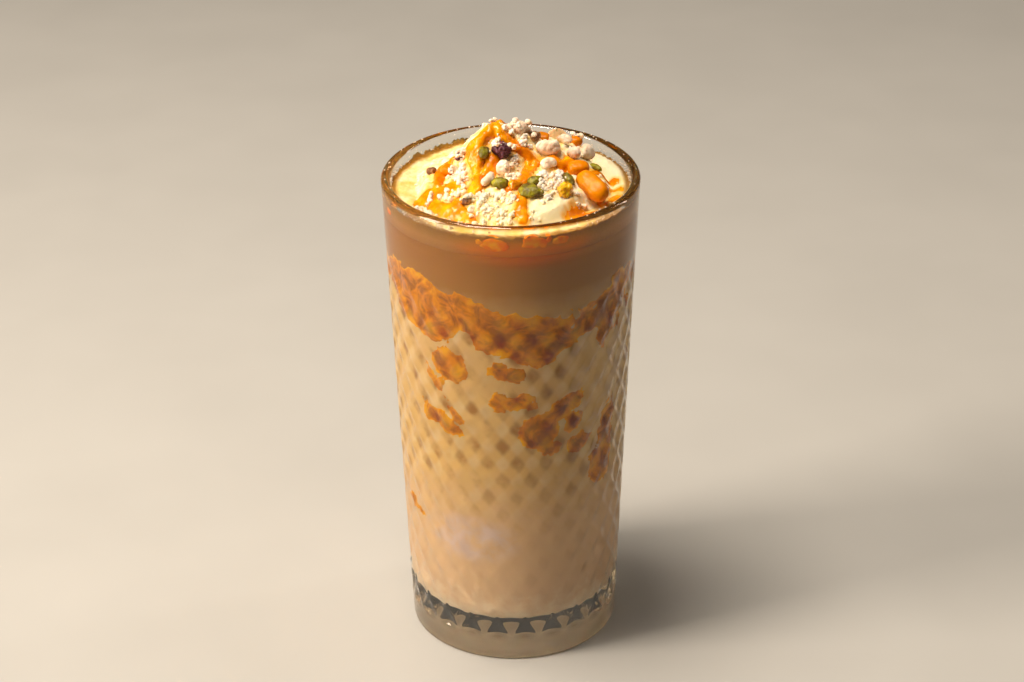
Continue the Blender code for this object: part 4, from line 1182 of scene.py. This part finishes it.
def treeOf(piece):
    # a piece's faces, ready for rays
    bm = bmesh.new()
    bm.from_mesh(piece.data)
    tree = BVHTree.FromBMesh(bm)
    bm.free()
    return tree


def makeScatter(material):
    draw = random.Random(scatter["seed"])
    forms = [crumbForms(draw, *kind[4:]) for kind in scatter["kinds"]]
    items = [[] for _ in forms]
    carriers = [p for p in bpy.context.scene.objects if p.name.startswith("fine_")]
    carriers += [heapCore, mangoSauce, cream]
    trees = {p.name: treeOf(p) for p in carriers}
    limit = innerRadius(creamShape["seat"])
    clusters = list(scatter["clusters"])
    for nodeName, shiftX, shiftY, *rest in scatter["dusted"]:
        low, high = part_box(nodeName)
        clusters.append(((low[0] + high[0]) / 2 / mm + shiftX, (low[1] + high[1]) / 2 / mm + shiftY, *rest))

    def drop(kind, middle, size):
        shapes, faces = forms[kind]
        items[kind].append((shapes[draw.randrange(len(shapes))] @ randomTurn(draw).T * size + middle, faces))

    for cx, cy, spread, *counts, pile in clusters:
        for kind, count in enumerate(counts):
            smallest, largest, share = scatter["kinds"][kind][1:4]
            for _ in range(round(count * scatter["often"][kind])):
                x = (cx + draw.gauss(0, spread * share)) * mm
                y = (cy + draw.gauss(0, spread * share)) * mm
                size = draw.uniform(smallest, largest) * mm
                if math.hypot(x, y) > limit - 1.2 * size:
                    continue
                at, normal, carrier = surfaceBelow(trees, x, y)
                if carrier == mangoSauce.name and draw.random() < scatter["offSauce"][kind]:
                    continue
                away = math.hypot(x / mm - cx, y / mm - cy) / spread
                lift = draw.random() * pile * mm * max(0, 1 - away ** 2) if kind == 1 else 0
                drop(kind, np.array(at + normal * size * scatter["seat"]) + (0, 0, lift), size)
    for x, y, size, lift in scatter["placed"]:
        at = surfaceBelow(trees, x * mm, y * mm)[0]
        drop(0, np.array(at) + (0, 0, lift * mm), size * mm)
    last = len(forms) - 1
    smallest, largest = scatter["kinds"][last][1:3]
    rimHalf = glassShape["rimWall"] / 2
    for _ in range(scatter["onRim"]):
        angle = math.radians(draw.gauss(draw.choice(scatter["rimAngles"]), scatter["rimSpread"]))
        size = draw.uniform(smallest, largest) * mm * scatter["rimSize"]
        off = draw.uniform(-0.9, 0.5) * mm
        radius = glassShape["rimRadius"] - rimHalf + off
        z = glassShape["height"] - rimHalf + math.sqrt(rimHalf ** 2 - off ** 2) + size * 0.4
        drop(last, np.array([radius * math.cos(angle), radius * math.sin(angle), z]), size)
    for _ in range(scatter["onWall"]):
        angle = math.radians(draw.uniform(*scatter["wallAngles"]))
        size = draw.uniform(smallest, largest) * mm * scatter["wallSize"]
        z = creamShape["seat"] + abs(draw.gauss(*scatter["wallHeight"])) * mm
        radius = innerRadius(z) - size * 0.5
        drop(last, np.array([radius * math.cos(angle), radius * math.sin(angle), z]), size)
    return [joinedPiece(kind[0], found, material) for kind, found in zip(scatter["kinds"], items)]


for loose in makeScatter(foodMaterials["driedMilkSolidsCrumbled"]):
    settle(loose, "crumbs")
    print(loose.name, len(loose.data.polygons), "faces")


# Floor, light and camera

stage = {"halfFloor": 3.0, "floorDrop": 0.1 * mm, "skyColour": "F4E8D8", "skyStrength": 0.045}

floorMesh = bpy.data.meshes.new("floor")
half, low = stage["halfFloor"], -stage["floorDrop"]
corners = [(-half, -half, low), (half, -half, low), (half, half, low), (-half, half, low)]
floorMesh.from_pydata(corners, [], [(0, 1, 2, 3)])
floor = bpy.data.objects.new("floor", floorMesh)
bpy.context.scene.collection.objects.link(floor)
# Matt painted board: even pale grey. It lies a hair below the foot, whose underside then mirrors as it should
floorMesh.materials.append(mottled("mattPaintedBoard", {
    "shader": {"Roughness": 0.8}, "blotches": (60, 2), "stops": [(0.3, "BCB9B4"), (0.7, "C0BDB8")],
}))

world = bpy.data.worlds.new("studio")
world.use_nodes = True
sky = world.node_tree.nodes["Background"]
sky.inputs["Color"].default_value = toLinear(stage["skyColour"])
sky.inputs["Strength"].default_value = stage["skyStrength"]
bpy.context.scene.world = world

lights = {
    # place, target, width and height in metres, power in watts, colour
    "keyPanel": ((-1.0, -0.3, 0.46), (0, 0, 0.1), 0.34, 0.9, 17.5, "FFF1DE"),
    "topPanel": ((-0.2, -0.02, 1.0), (0, 0, 0.14), 0.4, 0.4, 9.8, "FFF3E2"),
    "edgeStrip": ((0.85, 0.35, 0.42), (0, 0, 0.09), 0.07, 0.8, 1.5, "FFF3E4"),
}
for name, (at, target, width, height, power, colour) in lights.items():
    light = bpy.data.lights.new(name, "AREA")
    light.shape = "RECTANGLE"
    light.size = width
    light.size_y = height
    light.energy = power
    light.color = toLinear(colour)[:3]
    lamp = bpy.data.objects.new(name, light)
    lamp.location = at
    lamp.rotation_euler = (Vector(target) - Vector(at)).to_track_quat("-Z", "Y").to_euler()
    bpy.context.scene.collection.objects.link(lamp)

view = {"aim": 94.34 * mm, "distance": 760 * mm, "elevation": math.radians(28.0), "roll": math.radians(-0.49),
        "lens": 88.3, "sensor": 36}
lens = bpy.data.cameras.new("camera")
lens.lens = view["lens"]
lens.sensor_width = view["sensor"]
camera = bpy.data.objects.new("camera", lens)
bpy.context.scene.collection.objects.link(camera)
back = Vector((0, -math.cos(view["elevation"]), math.sin(view["elevation"])))
right = Vector((1, 0, 0))
up = back.cross(right)
tilted = right * math.cos(view["roll"]) + up * math.sin(view["roll"])
raised = up * math.cos(view["roll"]) - right * math.sin(view["roll"])
pose = Matrix((tilted, raised, back)).transposed().to_4x4()
pose.translation = Vector((0, 0, view["aim"])) + back * view["distance"]
camera.matrix_world = pose
bpy.context.scene.camera = camera
bpy.context.scene.view_settings.view_transform = "Standard"

drawn = [piece for piece in bpy.context.scene.objects if piece.type == "MESH" and not piece.hide_render]
total = sum(len(face.vertices) - 2 for piece in drawn for face in piece.data.polygons)
print("stage set, triangles:", total)
